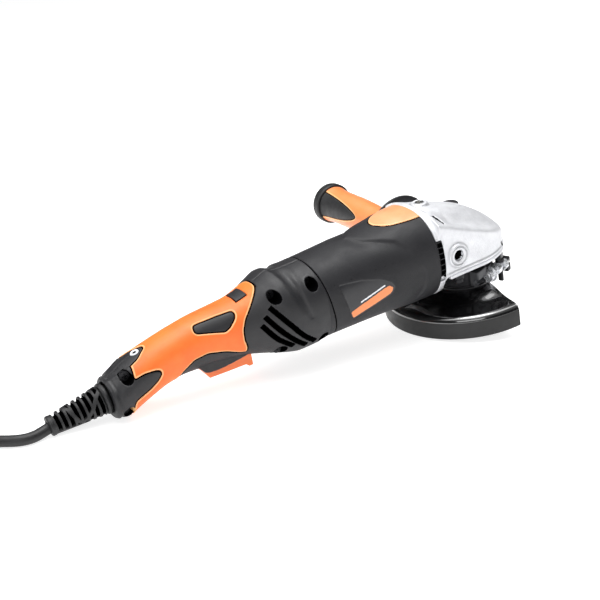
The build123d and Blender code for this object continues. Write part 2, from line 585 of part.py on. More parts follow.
# ------------------------------------------------------------------
# side handle, on the left of the head
# ------------------------------------------------------------------
def turned(pts):
    return spun(pts, (HANDLE_X, 0, HANDLE_Z), "y")


stud = cyl_y(HANDLE_HOLE_R - 0.05, 22.0, 75.0, HANDLE_X, HANDLE_Z)
keep("side_handle_stud", stud)
HF = turned([(4.0, 36.4), (10.5, 36.4), (12.0, 38.0), (27.0, 38.6), (29.6, 39.4), (30.0, 40.8), (29.0, 42.2), (21.0, 44.2),
             (16.0, 47.6), (14.2, 52.0), (4.0, 52.0)])
keep("side_handle_flange", HF)
GRIP = [(4.0, 52.0), (14.2, 52.0), (13.0, 60.0), (12.9, 70.0), (13.3, 82.0), (13.9, 95.0), (14.2, 108.0), (14.2, 120.0),
        (14.4, 130.0), (15.0, 138.0), (10.0, 138.0), (10.0, 76.0), (4.0, 76.0)]
grip = turned(GRIP)
GRIP_IN = [(max(r - 1.3, 0), y) for r, y in GRIP[1:10]]
grip_core = turned([(0, 51.0)] + [(GRIP_IN[0][0], 51.0)] + GRIP_IN + [(GRIP_IN[-1][0], 139.0), (0, 139.0)])
tongue = plan_plate([(HANDLE_X - 10.4, 139), (HANDLE_X - 10.0, 126), (HANDLE_X - 6.6, 102), (HANDLE_X, 87), (HANDLE_X + 6.6, 102),
                     (HANDLE_X + 10.0, 126), (HANDLE_X + 10.4, 139)], -40, 40, 1.2)
tongue = Pos(HANDLE_X, 0, HANDLE_Z) * Rot(0, -70, 0) * Pos(-HANDLE_X, 0, -HANDLE_Z) * tongue
tongues = (grip - grip_core) & tongue
grip = grip - tongues
keep("side_handle_grip", biggest(grip))
END = turned([(0, 138.0), (15.0, 138.0), (16.2, 140.5), (17.3, 143.5), (17.5, 147.0), (16.3, 150.4), (13.0, 152.9), (7.0, 154.2), (0, 154.5)])
plug_end = cyl_y(9.9, 120, 138.2, HANDLE_X, HANDLE_Z)
end_cap = END + plug_end
for t in solids(tongues):
    end_cap = end_cap + t
keep("side_handle_end", end_cap)

# ------------------------------------------------------------------
# mains lead: a straight length in the heel, the free tube, the tied
# coil and the plug
# ------------------------------------------------------------------
lead_plane = Plane(origin=SL_A + sl_dir * -18.0, x_dir=(0, 1, 0), z_dir=sl_dir)
JOIN = 27.0                                     # along the sleeve, where the free tube starts
lead_in = lead_plane * (Pos(0, 0, (18.0 + JOIN) / 2) * Cylinder(CORD_R, 18.0 + JOIN))

cp, sp_ = math.cos(math.radians(PITCH)), math.sin(math.radians(PITCH))


def to_floor(v):
    return V(v.X * cp - v.Z * sp_, v.Y, v.X * sp_ + v.Z * cp + LIFT)


start = to_floor(SL_A + sl_dir * JOIN)
exit_pt = to_floor(SL_B)
fdir = (exit_pt - start).normalized()
drop = (4.13 - exit_pt.Z) / fdir.Z
touch = exit_pt + fdir * drop
ROUTE = [start, touch, V(-392.0, 11.5, CORD_R), V(-423.0, 32.0, CORD_R), V(-447.0, 50.0, CORD_R)]
radii = []
for i in range(1, len(ROUTE) - 1):
    a, b = ROUTE[i] - ROUTE[i - 1], ROUTE[i + 1] - ROUTE[i]
    half = math.radians(a.get_angle(b)) / 2
    radii.append(0.45 * min(a.length, b.length) / math.tan(half))
print("cord route", [(round(p.X, 2), round(p.Y, 2), round(p.Z, 2)) for p in ROUTE])
print("cord radii", [round(r, 1) for r in radii], "runs", [round((ROUTE[i + 1] - ROUTE[i]).length, 1) for i in range(len(ROUTE) - 1)])
path = FilletPolyline(*ROUTE, radius=radii)
lead = sweep(Plane(origin=path @ 0, z_dir=path % 0) * Circle(CORD_R), path=path)
print("cord tube volume ratio", lead.volume / (math.pi * CORD_R ** 2 * path.length), "length", path.length)

cx, cy = COIL_XY
coil = tube_z(CORD_COIL_R + 2 * CORD_R, CORD_COIL_R - 2 * CORD_R, 0.0, 24.0, cx, cy)
floor_parts["cord_coil"] = [fillet(coil.edges(), 3.0)]

PX, PY, PZ = cx - 48.0, cy + 34.0, 18.5
plug = spun([(CORD_R + 0.03, 0), (5.6, 0), (6.4, 12.0), (8.5, 17.0), (14.0, 22.0), (17.6, 30.0), (18.4, 36.0), (18.4, 50.0), (17.6, 51.0),
             (0, 51.0), (0, 14.0), (CORD_R + 0.03, 14.0)], (PX, PY, PZ), "y")
floor_parts["mains_plug"] = [plug]
pins = []
for s in (-1, 1):
    pin_ = cyl_y(2.4, PY + 51.0, PY + 70.0, PX + s * 9.5, PZ)
    pins.append(fillet(pin_.edges().group_by(Axis.Y)[-1], 1.2))
floor_parts["plug_pins"] = pins
tail = cyl_y(CORD_R, PY - 10.0, PY + 14.0, PX, PZ)
lead_in = Pos(0, 0, LIFT) * Rot(0, -PITCH, 0) * lead_in
floor_parts["power_cord"] = [lead_in, lead, tail]

# ------------------------------------------------------------------
# place and write
# ------------------------------------------------------------------
PLACE = Pos(SHIFT_X, SHIFT_Y, LIFT) * Rot(0, -PITCH, 0)
FLOOR = Pos(SHIFT_X, SHIFT_Y, 0)


def write(name, shapes, place):
    flat = []
    for s in shapes:
        flat += solids(s)
    flat = [place * s for s in flat]
    export_step(flat[0] if len(flat) == 1 else Compound(flat), "parts/%s.step" % name)
    return flat


lo, hi = [1e9] * 3, [-1e9] * 3
for name, shapes in parts.items():
    flat = write(name, shapes, PLACE)
    for s in flat:
        b = s.bounding_box()
        for i, (p, q) in enumerate(((b.min.X, b.max.X), (b.min.Y, b.max.Y), (b.min.Z, b.max.Z))):
            lo[i], hi[i] = min(lo[i], p), max(hi[i], q)
for name, shapes in floor_parts.items():
    write(name, shapes, FLOOR)
print("tool box", [round(v, 3) for v in lo], [round(v, 3) for v in hi])
print("centre", round((lo[0] + hi[0]) / 2, 3), round((lo[1] + hi[1]) / 2, 3))
print(len(parts) + len(floor_parts), "nodes")
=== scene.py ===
import json, math
import bpy
import numpy as np
from mathutils import Matrix, Vector

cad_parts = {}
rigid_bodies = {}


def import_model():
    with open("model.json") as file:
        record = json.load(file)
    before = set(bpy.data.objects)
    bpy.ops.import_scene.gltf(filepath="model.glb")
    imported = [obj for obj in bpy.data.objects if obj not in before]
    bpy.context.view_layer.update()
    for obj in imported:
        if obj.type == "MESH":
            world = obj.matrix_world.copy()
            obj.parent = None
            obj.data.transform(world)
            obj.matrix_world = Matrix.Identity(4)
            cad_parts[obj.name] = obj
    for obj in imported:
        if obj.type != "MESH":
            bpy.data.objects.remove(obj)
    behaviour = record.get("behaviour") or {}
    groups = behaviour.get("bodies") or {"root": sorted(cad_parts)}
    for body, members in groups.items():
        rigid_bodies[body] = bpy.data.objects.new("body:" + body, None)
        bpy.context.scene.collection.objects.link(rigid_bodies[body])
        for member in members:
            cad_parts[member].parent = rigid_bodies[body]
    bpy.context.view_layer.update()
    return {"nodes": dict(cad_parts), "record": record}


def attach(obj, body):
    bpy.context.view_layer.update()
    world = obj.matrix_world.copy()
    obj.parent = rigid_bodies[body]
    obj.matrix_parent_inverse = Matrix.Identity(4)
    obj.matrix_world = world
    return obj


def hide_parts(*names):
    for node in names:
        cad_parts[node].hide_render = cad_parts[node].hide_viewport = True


for o in list(bpy.data.objects):
    bpy.data.objects.remove(o)
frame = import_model()
N = frame["nodes"]
scene = bpy.context.scene
scene.view_settings.view_transform = "Standard"

# ---------------------------------------------------------------- camera
cam_data = bpy.data.cameras.new("camera")
cam_data.lens, cam_data.sensor_width, cam_data.sensor_fit = 72.0, 36.0, "HORIZONTAL"
cam_data.clip_start, cam_data.clip_end = 0.05, 20.0
cam = bpy.data.objects.new("camera", cam_data)
cam_r = Vector((0.85351603, -0.51844499, -0.05220328))
cam_u = Vector((0.23166687, 0.28782614, 0.92923978))
cam_f = Vector((0.46673425, 0.80521482, -0.36577075))
cm = Matrix((cam_r, cam_u, -cam_f)).transposed().to_4x4()
cm.translation = Vector((-0.410343, -0.763531, 0.375124))
cam.matrix_world = cm
bpy.context.collection.objects.link(cam)
scene.camera = cam


# ---------------------------------------------------------------- small helpers
COS, SIN = math.cos(math.radians(7.5)), math.sin(math.radians(7.5))


def T(p):
    """Tool axes in mm (x along the motor, y to the left, z along the spindle) to the frame in metres."""
    p = np.asarray(p, float)
    x, y, z = p[..., 0], p[..., 1], p[..., 2]
    return np.stack([x * COS - z * SIN + 155.084, y - 44.15, x * SIN + z * COS + 68.13], -1) / 1000.0


def lin(r, g, b):
    return tuple((c / 12.92 if c <= 0.04045 else ((c + 0.055) / 1.055) ** 2.4) for c in (r / 255, g / 255, b / 255)) + (1.0,)


def ease(t):
    t = np.clip(t, 0.0, 1.0)
    return t * t * (3 - 2 * t)


def pchip(xs, ys):
    """Smooth curve through the given points that never overshoots them."""
    xs, ys = np.asarray(xs, float), np.asarray(ys, float)
    h, d = np.diff(xs), np.diff(ys) / np.diff(xs)
    s = np.zeros(len(xs))
    for i in range(1, len(xs) - 1):
        if d[i - 1] * d[i] > 0:
            w1, w2 = 2 * h[i] + h[i - 1], h[i] + 2 * h[i - 1]
            s[i] = (w1 + w2) / (w1 / d[i - 1] + w2 / d[i])
    s[0], s[-1] = d[0], d[-1]

    def f(x):
        x = np.clip(np.asarray(x, float), xs[0], xs[-1])
        i = np.clip(np.searchsorted(xs, x) - 1, 0, len(h) - 1)
        t = (x - xs[i]) / h[i]
        return ((1 + 2 * t) * (1 - t) ** 2 * ys[i] + t * (1 - t) ** 2 * h[i] * s[i] + t * t * (3 - 2 * t) * ys[i + 1] + t * t * (t - 1) * h[i] * s[i + 1])
    return f


def round_poly(pts, r, n=5):
    """The outline with its corners cut back by r, or by what their sides allow, and rounded."""
    out, k = [], len(pts)
    for i in range(k):
        a, b, c = np.array(pts[i - 1], float), np.array(pts[i], float), np.array(pts[(i + 1) % k], float)
        d = min(r, 0.46 * np.linalg.norm(a - b), 0.46 * np.linalg.norm(c - b))
        p, q = b + (a - b) / np.linalg.norm(a - b) * d, b + (c - b) / np.linalg.norm(c - b) * d
        for j in range(n + 1):
            t = j / n
            out.append((1 - t) ** 2 * p + 2 * t * (1 - t) * b + t * t * q)
    return np.array(out)


def sd_poly(poly, u, v):
    """Signed distance to a closed outline, negative inside."""
    d = np.full(u.shape, 1e9)
    inside = np.zeros(u.shape, bool)
    k = len(poly)
    for i in range(k):
        (ax, ay), (bx, by) = poly[i], poly[(i + 1) % k]
        ex, ey = bx - ax, by - ay
        wx, wy = u - ax, v - ay
        t = np.clip((wx * ex + wy * ey) / max(ex * ex + ey * ey, 1e-12), 0, 1)
        d = np.minimum(d, (wx - ex * t) ** 2 + (wy - ey * t) ** 2)
        if ay != by:
            cross = ((ay > v) != (by > v)) & (u < ex * (v - ay) / ey + ax)
            inside ^= cross
    d = np.sqrt(d)
    return np.where(inside, -d, d)


def sd_line(pts, u, v, half, flat=True):
    """Signed distance to a bent bar of the given half width with straight-cut ends."""
    pts = np.asarray(pts, float)
    d = np.full(u.shape, 1e9)
    for (ax, ay), (bx, by) in zip(pts[:-1], pts[1:]):
        ex, ey = bx - ax, by - ay
        wx, wy = u - ax, v - ay
        t = np.clip((wx * ex + wy * ey) / (ex * ex + ey * ey), 0, 1)
        d = np.minimum(d, np.hypot(wx - ex * t, wy - ey * t))
    d = d - half
    if flat:
        for p, q in ((pts[0], pts[1]), (pts[-1], pts[-2])):
            t = (p - q) / np.linalg.norm(p - q)
            d = np.maximum(d, (u - p[0]) * t[0] + (v - p[1]) * t[1])
    return d


def mesh_from(name, verts, faces, mats=(), face_mat=None, attrs=None, smooth=True):
    """A mesh object from points in metres and faces of equal size."""
    me = bpy.data.meshes.new(name)
    verts, faces = np.ascontiguousarray(verts, np.float32), np.ascontiguousarray(faces, np.int32)
    k = faces.shape[1]
    me.vertices.add(len(verts))
    me.vertices.foreach_set("co", verts.ravel())
    me.loops.add(faces.size)
    me.loops.foreach_set("vertex_index", faces.ravel())
    me.polygons.add(len(faces))
    me.polygons.foreach_set("loop_start", np.arange(0, faces.size, k, dtype=np.int32))
    for mt in mats:
        me.materials.append(mt)
    if face_mat is not None:
        me.polygons.foreach_set("material_index", np.ascontiguousarray(face_mat, np.int32))
    me.polygons.foreach_set("use_smooth", np.full(len(faces), smooth))
    me.update(calc_edges=True)
    for key, val in (attrs or {}).items():
        a = me.attributes.new(key, "FLOAT", "POINT")
        a.data.foreach_set("value", np.ascontiguousarray(val, np.float32))
    ob = bpy.data.objects.new(name, me)
    bpy.context.collection.objects.link(ob)
    return ob


def grid_faces(nu, nv, wrap=False):
    i, j = np.meshgrid(np.arange(nu - 1), np.arange(nv if wrap else nv - 1), indexing="ij")
    j2 = (j + 1) % nv
    return np.stack([i * nv + j, i * nv + j2, (i + 1) * nv + j2, (i + 1) * nv + j], -1).reshape(-1, 4)


def part_of(verts, faces, keep, attrs=None):
    """The faces kept, with only the points that they use."""
    f = faces[keep]
    used = np.unique(f)
    renum = np.full(len(verts), -1)
    renum[used] = np.arange(len(used))
    return verts[used], renum[f], {k: v[used] for k, v in (attrs or {}).items()}


def piece(ob, body, slot, *nodes):
    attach(ob, body)
    if nodes:
        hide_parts(*nodes)
    return ob


# ---------------------------------------------------------------- materials
MAT = {}


def material(name, color, rough=0.5, metallic=0.0, spec=0.5, coat=0.0, coat_rough=0.1, grain=(1800.0, 0.1), grain2=None, vary=(60.0, 0.12), rough_vary=0.08,
             tint=None, dirt=0.0, height=None, brushed=None, rim=None, ior=None, coat_ior=None):
    """A moulded, cast or painted finish: colour that wanders a little, a fine surface grain and uneven gloss, painted
    shade (colour mixed towards near black) where the point value 'cav' marks a hollow, and a painted highlight (colour
    mixed towards a pale tint) where the point value 'rim' marks a lip.
    """
    m = bpy.data.materials.new(name)
    m.use_nodes = True
    nt = m.node_tree
    nt.nodes.clear()
    L = nt.links.new

    def node(kind, **kw):
        n = nt.nodes.new(kind)
        for k, v in kw.items():
            setattr(n, k, v)
        return n
    out = node("ShaderNodeOutputMaterial")
    b = node("ShaderNodeBsdfPrincipled")
    L(b.outputs[0], out.inputs[0])
    b.inputs["Metallic"].default_value = metallic
    b.inputs["Specular IOR Level"].default_value = spec
    b.inputs["Coat Weight"].default_value = coat
    b.inputs["Coat Roughness"].default_value = coat_rough
    if ior:
        b.inputs["IOR"].default_value = ior
    if coat_ior:
        b.inputs["Coat IOR"].default_value = coat_ior
    co = node("ShaderNodeTexCoord")
    # colour
    n1 = node("ShaderNodeTexNoise")
    n1.inputs["Scale"].default_value, n1.inputs["Detail"].default_value, n1.inputs["Roughness"].default_value = vary[0], 5.0, 0.6
    L(co.outputs["Object"], n1.inputs["Vector"])
    ramp = node("ShaderNodeValToRGB")
    c = np.array(color[:3])
    t2 = np.array((tint or color)[:3])
    ramp.color_ramp.elements[0].position, ramp.color_ramp.elements[1].position = 0.3, 0.72
    ramp.color_ramp.elements[0].color = tuple(c * (1 - vary[1])) + (1,)
    ramp.color_ramp.elements[1].color = tuple(np.clip(t2 * (1 + vary[1]), 0, 1)) + (1,)
    L(n1.outputs["Fac"], ramp.inputs[0])
    col = ramp.outputs[0]
    if height:  # a slow painted change of shade with height: darker low down, paler high up, as if lit from above, (low z, high z, colour low, colour high), in metres
        sep = node("ShaderNodeSeparateXYZ")
        L(co.outputs["Object"], sep.inputs[0])
        mp = node("ShaderNodeMapRange", interpolation_type="SMOOTHSTEP")
        L(sep.outputs["Z"], mp.inputs["Value"])
        mp.inputs["From Min"].default_value, mp.inputs["From Max"].default_value = height[0], height[1]
        mx = node("ShaderNodeMixRGB", blend_type="MIX")
        L(mp.outputs[0], mx.inputs[0])
        mx.inputs[1].default_value, mx.inputs[2].default_value = height[2], height[3]
        mm = node("ShaderNodeMixRGB", blend_type="MULTIPLY")
        mm.inputs[0].default_value = 1.0
        L(mx.outputs[0], mm.inputs[1])
        L(col, mm.inputs[2])
        col = mm.outputs[0]
    # painted shade: the colour goes to near black where the point value 'cav' is high, in grooves, pits and hollows
    at = node("ShaderNodeAttribute", attribute_name="cav")
    dk = node("ShaderNodeMixRGB", blend_type="MIX")
    L(at.outputs["Fac"], dk.inputs[0])
    L(col, dk.inputs[1])
    dk.inputs[2].default_value = tuple(c * 0.08) + (1,)
    col = dk.outputs[0]
    # painted highlight: the colour goes to a pale tint where the point value 'rim' is high, along lips
    if rim:
        ar = node("ShaderNodeAttribute", attribute_name="rim")
        rk = node("ShaderNodeMixRGB", blend_type="MIX")
        L(ar.outputs["Fac"], rk.inputs[0])
        L(col, rk.inputs[1])
        rk.inputs[2].default_value = rim
        col = rk.outputs[0]
    if dirt:  # faint marks from handling
        n3 = node("ShaderNodeTexNoise")
        n3.inputs["Scale"].default_value, n3.inputs["Detail"].default_value = 220.0, 8.0
        L(co.outputs["Object"], n3.inputs["Vector"])
        r3 = node("ShaderNodeValToRGB")
        r3.color_ramp.elements[0].position, r3.color_ramp.elements[1].position = 0.62, 0.8
        r3.color_ramp.elements[0].color, r3.color_ramp.elements[1].color = (1, 1, 1, 1), (1 - dirt, 1 - dirt, 1 - dirt, 1)
        L(n3.outputs["Fac"], r3.inputs[0])
        md = node("ShaderNodeMixRGB", blend_type="MULTIPLY")
        md.inputs[0].default_value = 1.0
        L(col, md.inputs[1])
        L(r3.outputs[0], md.inputs[2])
        col = md.outputs[0]
    L(col, b.inputs["Base Color"])
    # gloss
    n2 = node("ShaderNodeTexNoise")
    n2.inputs["Scale"].default_value, n2.inputs["Detail"].default_value = vary[0] * 3.1, 6.0
    L(co.outputs["Object"], n2.inputs["Vector"])
    mr = node("ShaderNodeMapRange")
    mr.inputs["From Min"].default_value, mr.inputs["From Max"].default_value = 0.3, 0.7
    mr.inputs["To Min"].default_value, mr.inputs["To Max"].default_value = max(rough - rough_vary, 0.03), min(rough + rough_vary, 1.0)
    L(n2.outputs["Fac"], mr.inputs["Value"])
    L(mr.outputs[0], b.inputs["Roughness"])
    # grain
    if brushed:  # (axis scale vector, strength): fine turning or brushing lines
        mpn = node("ShaderNodeMapping")
        mpn.inputs["Scale"].default_value = brushed[0]
        L(co.outputs["Object"], mpn.inputs["Vector"])
        g = node("ShaderNodeTexNoise")
        g.inputs["Scale"].default_value, g.inputs["Detail"].default_value = 1.0, 4.0
        L(mpn.outputs[0], g.inputs["Vector"])
    else:
        g = node("ShaderNodeTexNoise")
        g.inputs["Scale"].default_value, g.inputs["Detail"].default_value, g.inputs["Roughness"].default_value = grain[0], 3.0, 0.6
        L(co.outputs["Object"], g.inputs["Vector"])
    bm = node("ShaderNodeBump")
    bm.inputs["Strength"].default_value = brushed[1] if brushed else grain[1]
    bm.inputs["Distance"].default_value = 0.0003
    L(g.outputs["Fac"], bm.inputs["Height"])
    last = bm
    if grain2:
        g2 = node("ShaderNodeTexVoronoi")
        g2.inputs["Scale"].default_value = grain2[0]
        L(co.outputs["Object"], g2.inputs["Vector"])
        b2 = node("ShaderNodeBump")
        b2.inputs["Strength"].default_value, b2.inputs["Distance"].default_value = grain2[1], 0.0004
        L(g2.outputs["Distance"], b2.inputs["Height"])
        L(bm.outputs[0], b2.inputs["Normal"])
        last = b2
    L(last.outputs[0], b.inputs["Normal"])
    MAT[name] = m
    return m


# painted shade on the orange parts: colour multiplied darker towards low z and left plain towards high z, as if lit
# from above
ORANGE_HEIGHT_SHADE = (0.02, 0.095, (1.0, 0.86, 0.80, 1), (1.0, 1.0, 1.0, 1))
# pale tint of the painted highlight along the orange lips
PALE_LIP_HIGHLIGHT = lin(255, 214, 150)
material("black_plastic", lin(28, 28, 31), 0.5, spec=0.5, grain=(2000, 0.34), grain2=(1100, 0.16), vary=(45, 0.16), rough_vary=0.07, dirt=0.12)
material("motor_plastic", lin(31, 31, 34), 0.56, spec=0.38, grain=(2000, 0.36), grain2=(1100, 0.18), vary=(30, 0.14), rough_vary=0.07, dirt=0.12)
material("orange_grip", lin(244, 114, 43), 0.46, spec=0.45, grain=(2200, 0.20), grain2=(1300, 0.10), vary=(40, 0.05), tint=lin(250, 132, 56), rough_vary=0.06, dirt=0.05, height=ORANGE_HEIGHT_SHADE, rim=PALE_LIP_HIGHLIGHT)
material("orange_plastic", lin(247, 124, 52), 0.36, spec=0.45, grain=(2400, 0.14), vary=(40, 0.05), tint=lin(250, 134, 62), rough_vary=0.06, dirt=0.05, coat=0.35, coat_rough=0.3, height=ORANGE_HEIGHT_SHADE, rim=PALE_LIP_HIGHLIGHT)
# paler copies of the orange for the top panel and the side grip: painted light from above
material("leaf_orange", lin(247, 152, 100), 0.36, spec=0.45, grain=(2400, 0.14), vary=(40, 0.05), tint=lin(249, 168, 122), rough_vary=0.06, dirt=0.05, coat=0.35, coat_rough=0.3, height=ORANGE_HEIGHT_SHADE, rim=PALE_LIP_HIGHLIGHT)
material("side_orange", lin(247, 141, 74), 0.36, spec=0.45, grain=(2400, 0.14), vary=(40, 0.05), tint=lin(249, 146, 92), rough_vary=0.06, dirt=0.05, coat=0.35, coat_rough=0.3, height=ORANGE_HEIGHT_SHADE, rim=PALE_LIP_HIGHLIGHT)
material("bar_orange", lin(242, 146, 74), 0.36, spec=0.45, grain=(2400, 0.14), vary=(40, 0.05), tint=lin(244, 150, 94), rough_vary=0.06, dirt=0.05, coat=0.35, coat_rough=0.3, height=ORANGE_HEIGHT_SHADE, rim=PALE_LIP_HIGHLIGHT)
material("cast_aluminium", lin(228, 229, 233), 0.46, metallic=0.45, grain=(1500, 0.55), grain2=(900, 0.30), vary=(90, 0.05), tint=lin(236, 237, 240), rough_vary=0.10, dirt=0.10)
material("guard_paint", lin(10, 10, 11), 0.2, spec=0.5, coat=1.0, coat_rough=0.035, grain=(420, 0.04), vary=(60, 0.18), rough_vary=0.05, dirt=0.1, ior=1.7, coat_ior=1.8)
material("guard_skirt", lin(13, 13, 14), 0.42, spec=0.45, grain=(900, 0.10), vary=(60, 0.18), rough_vary=0.08, dirt=0.15)
material("zinc_steel", lin(214, 216, 220), 0.26, metallic=1.0, grain=(1600, 0.14), vary=(300, 0.08), tint=lin(228, 226, 218), rough_vary=0.10)
material("dark_steel", lin(34, 34, 37), 0.36, metallic=0.6, grain=(1700, 0.16), vary=(200, 0.2), rough_vary=0.1)
material("clamp_zinc", lin(246, 247, 249), 0.3, metallic=0.7, spec=0.6, grain=(1600, 0.12), vary=(300, 0.10), tint=lin(216, 218, 224), rough_vary=0.10)
material("clamp_grey", lin(74, 75, 78), 0.40, metallic=0.3, grain=(1500, 0.14), vary=(200, 0.12), rough_vary=0.08)
material("bearing_steel", lin(196, 198, 202), 0.18, metallic=1.0, brushed=((900, 40, 900), 0.15), vary=(200, 0.06))
material("lamination", lin(120, 122, 128), 0.42, metallic=0.8, brushed=((6000, 60, 60), 0.4), vary=(120, 0.15))
material("copper", lin(186, 100, 52), 0.3, metallic=1.0, brushed=((300, 2600, 2600), 0.5), vary=(300, 0.18))
material("carbon", lin(30, 30, 32), 0.62, grain=(2400, 0.3), vary=(300, 0.25))
material("black_rubber", lin(23, 23, 25), 0.5, spec=0.5, grain=(2400, 0.26), vary=(70, 0.2), rough_vary=0.08, dirt=0.12)
material("clear_white", lin(236, 238, 242), 0.25, spec=0.5, coat=0.4, grain=(900, 0.05), vary=(300, 0.03))
material("plate_film", lin(38, 38, 41), 0.34, spec=0.5, grain=(3000, 0.10), vary=(90, 0.12), rough_vary=0.05)
material("bronze", lin(176, 128, 66), 0.34, metallic=1.0, grain=(2200, 0.3), vary=(200, 0.15))
material("felt", lin(120, 116, 108), 0.95, spec=0.2, grain=(2500, 0.8), vary=(400, 0.25))
material("pin_nickel", lin(205, 200, 188), 0.22, metallic=1.0, brushed=((900, 60, 900), 0.2), vary=(250, 0.06))

# flat near-black with no gloss: painted shade put on faces in slots, holes, gaps, grooves and window floors; the
# indicator's dark window uses it too
material("deep_hollow", lin(6, 6, 7), 0.95, spec=0.0, grain=(1200, 0.1), vary=(200, 0.3), rough_vary=0.03)

slot_of = {}
for sub in frame["record"].get("subparts", []):
    slot_of[sub.get("node") or sub.get("name")] = sub.get("material") or sub.get("material_slot") or sub.get("slot")
for name, ob in N.items():
    s = slot_of.get(name)
    if s in MAT:
        ob.data.materials.clear()
        ob.data.materials.append(MAT[s])

N["bearing_cover_screws"].data.materials[0] = MAT["dark_steel"]

# ---------------------------------------------------------------- cord
CX, CY = -263.116, 44.25
TH0 = math.radians(-126.8699)


def coil_points():
    """Control points of the coiled turns, wound clockwise from above: two columns, three layers, each step to the next place taken before the turn closes."""
    steps = [(300, 360, -8, 0), (630, 690, 0, 8), (960, 1020, 8, 0), (1290, 1350, 0, 8), (1620, 1680, -8, 0)]
    pts = []
    s = 20.0
    while s < 2210:
        r, z = 48.0, 4.0
        for a, b, dr, dz in steps:
            e = float(ease((s - a) / (b - a)))
            r += dr * e
            z += dz * e
        # the last turn climbs onto the outer one
        z += 8.3 * float(ease((s - 1950) / 80))
        r += 8.0 * float(ease((s - 2040) / 80))
        th = TH0 - math.radians(s)
        k = 1.0 / math.cos(math.radians(10.0))
        pts.append((CX + r * k * math.cos(th), CY + r * k * math.sin(th), z))
        s += 20.0
    return pts


route = [(-173.19, -44.15, 11.09), (-189.0, -44.15, 7.6), (-200.0, -45.6, 4.6), (-208.5, -48.6, 4.0), (-218.0, -47.5, 4.0), (-229.5, -39.6, 4.0),
         (-246.0, -26.6, 4.0), (-267.9, -12.15, 4.0), (-291.9, 5.85, 4.0)]
tail = [(CX - 49.0, CY + 4.0, 28.0), (CX - 51.0, CY + 14.0, 26.6), (CX - 51.0, CY + 24.0, 20.5), (CX - 48.6, CY + 34.0, 18.5), (CX - 48.0, CY + 46.0, 18.5)]
cu = bpy.data.curves.new("power_lead", "CURVE")
cu.dimensions = "3D"
sp = cu.splines.new("NURBS")
pts = route + coil_points() + tail
sp.points.add(len(pts) - 1)
for p, q in zip(sp.points, pts):
    p.co = (q[0] / 1000, q[1] / 1000, q[2] / 1000, 1.0)
sp.order_u = 3
sp.use_endpoint_u = True
sp.resolution_u = 10
cu.bevel_depth = 0.004
cu.bevel_resolution = 6
cu.use_fill_caps = True
cu.materials.append(MAT["black_rubber"])
lead = bpy.data.objects.new("power_lead", cu)
bpy.context.collection.objects.link(lead)
piece(lead, "housing", "black_rubber", "power_cord", "cord_coil")

# ---------------------------------------------------------------- housing skins
# x, top, bottom, half width of the moulded housings, in tool axes
MOTOR = [(-46, 39, -34, 38), (-60, 38.5, -34, 37.5), (-75, 36.5, -33.5, 35.8), (-90, 34.8, -32.6, 34), (-112, 33, -32, 32.6), (-143, 31.5, -31.5, 31.5)]
HANDLE = [(-143.4, 31.5, -31.5, 31.5), (-155, 31.2, -33.2, 31.8), (-165, 32.4, -33.4, 31.5), (-174, 33.2, -31.5, 30.5), (-184, 29.8, -28, 27.5),
          (-196, 24.9, -24, 23.5), (-208, 22.6, -20.6, 20.5), (-220, 21.8, -19.2, 19), (-232, 21.2, -18, 18), (-244, 20.1, -17, 17.2),
          (-256, 18.2, -16.4, 16.8), (-268, 15.8, -17.8, 16.8), (-280, 12.9, -21, 17.5), (-292, 9.8, -25, 18.5), (-303, 4.6, -28.59, 19),
          (-310, 0.8, -27.19, 17.5), (-316, -1.5, -25, 15.5)]
ORANGE = round_poly([(-186.4, 45), (-187.1, 28.3), (-188.6, 27.0), (-191.8, 24.3), (-198.2, 19.0), (-205.2, 12.6), (-208.9, 5.7), (-209.5, -2.1), (-207.9, -9.1),
                     (-208.2, -13.0), (-212.8, -11.7), (-224.5, -5.8), (-237.5, -2.0), (-248.7, -3.1), (-257.1, -8.2), (-262.4, -14.0), (-264.6, -19.0), (-266, -45),
                     (-301, -45), (-299.6, -22), (-298.8, -18.4), (-297.4, -14.8), (-292, -12.9), (-284.6, -10.7), (-278.1, -7.3), (-274.0, -3.4), (-274.4, 0.1),
                     (-278, 1.6), (-286.5, 2.3), (-294.1, 1.1), (-293.2, 4.4), (-292.4, 7.3), (-290.0, 45)], 2.4)
INSET = round_poly([(-242.3, 17.9), (-243.3, 15.4), (-241.7, 13.4), (-230.6, 10.8), (-221.6, 8.2), (-217.6, 9.8), (-212.2, 13.9), (-210.2, 16.5), (-210.4, 18.8),
                    (-212.3, 19.4), (-223.9, 19.3), (-237.5, 18.9), (-240.7, 18.6)], 1.4)
FINGER = round_poly([(-277.4, -1.4), (-277.4, 1.4), (-278.7, 3.1), (-281.4, 5.0), (-284.2, 7.2), (-286.9, 8.6), (-292.7, 9.7), (-330.0, 10.5), (-330.0, -10.5), (-292.7, -9.7),
                     (-286.9, -8.6), (-284.2, -7.2), (-281.4, -5.0), (-278.7, -3.1)], 1.6)
SLOTS = [[(-187, 16), (-176.6, 0.6), (-166.2, -13.4), (-156.5, -22.5)], [(-192, 10.5), (-183, -3.3), (-172.5, -15.5), (-164, -23)],
         [(-195.5, 4.8), (-186.5, -8.6), (-174.5, -19.5)]]
FRONT_HOLES = [(-181.2, 21.2), (-151.1, 20.9), (-183, -21.8), (-148.5, -23.6)]
REAR_HOLES = [(-298.5, 2.6), (-303.2, -21.0)]


def smooth_line(pts, n=18):
    pts = np.asarray(pts, float)
    t = np.concatenate([[0], np.cumsum(np.hypot(*np.diff(pts, axis=0).T))])
    u = np.linspace(0, t[-1], n)
    return np.stack([pchip(t, pts[:, 0])(u), pchip(t, pts[:, 1])(u)], -1)


SLOTS = [smooth_line(k) for k in SLOTS]


def curves(sections):
    s = np.array(sorted(sections), float)
    return [pchip(s[:, 0], s[:, k]) for k in (1, 2, 3)]


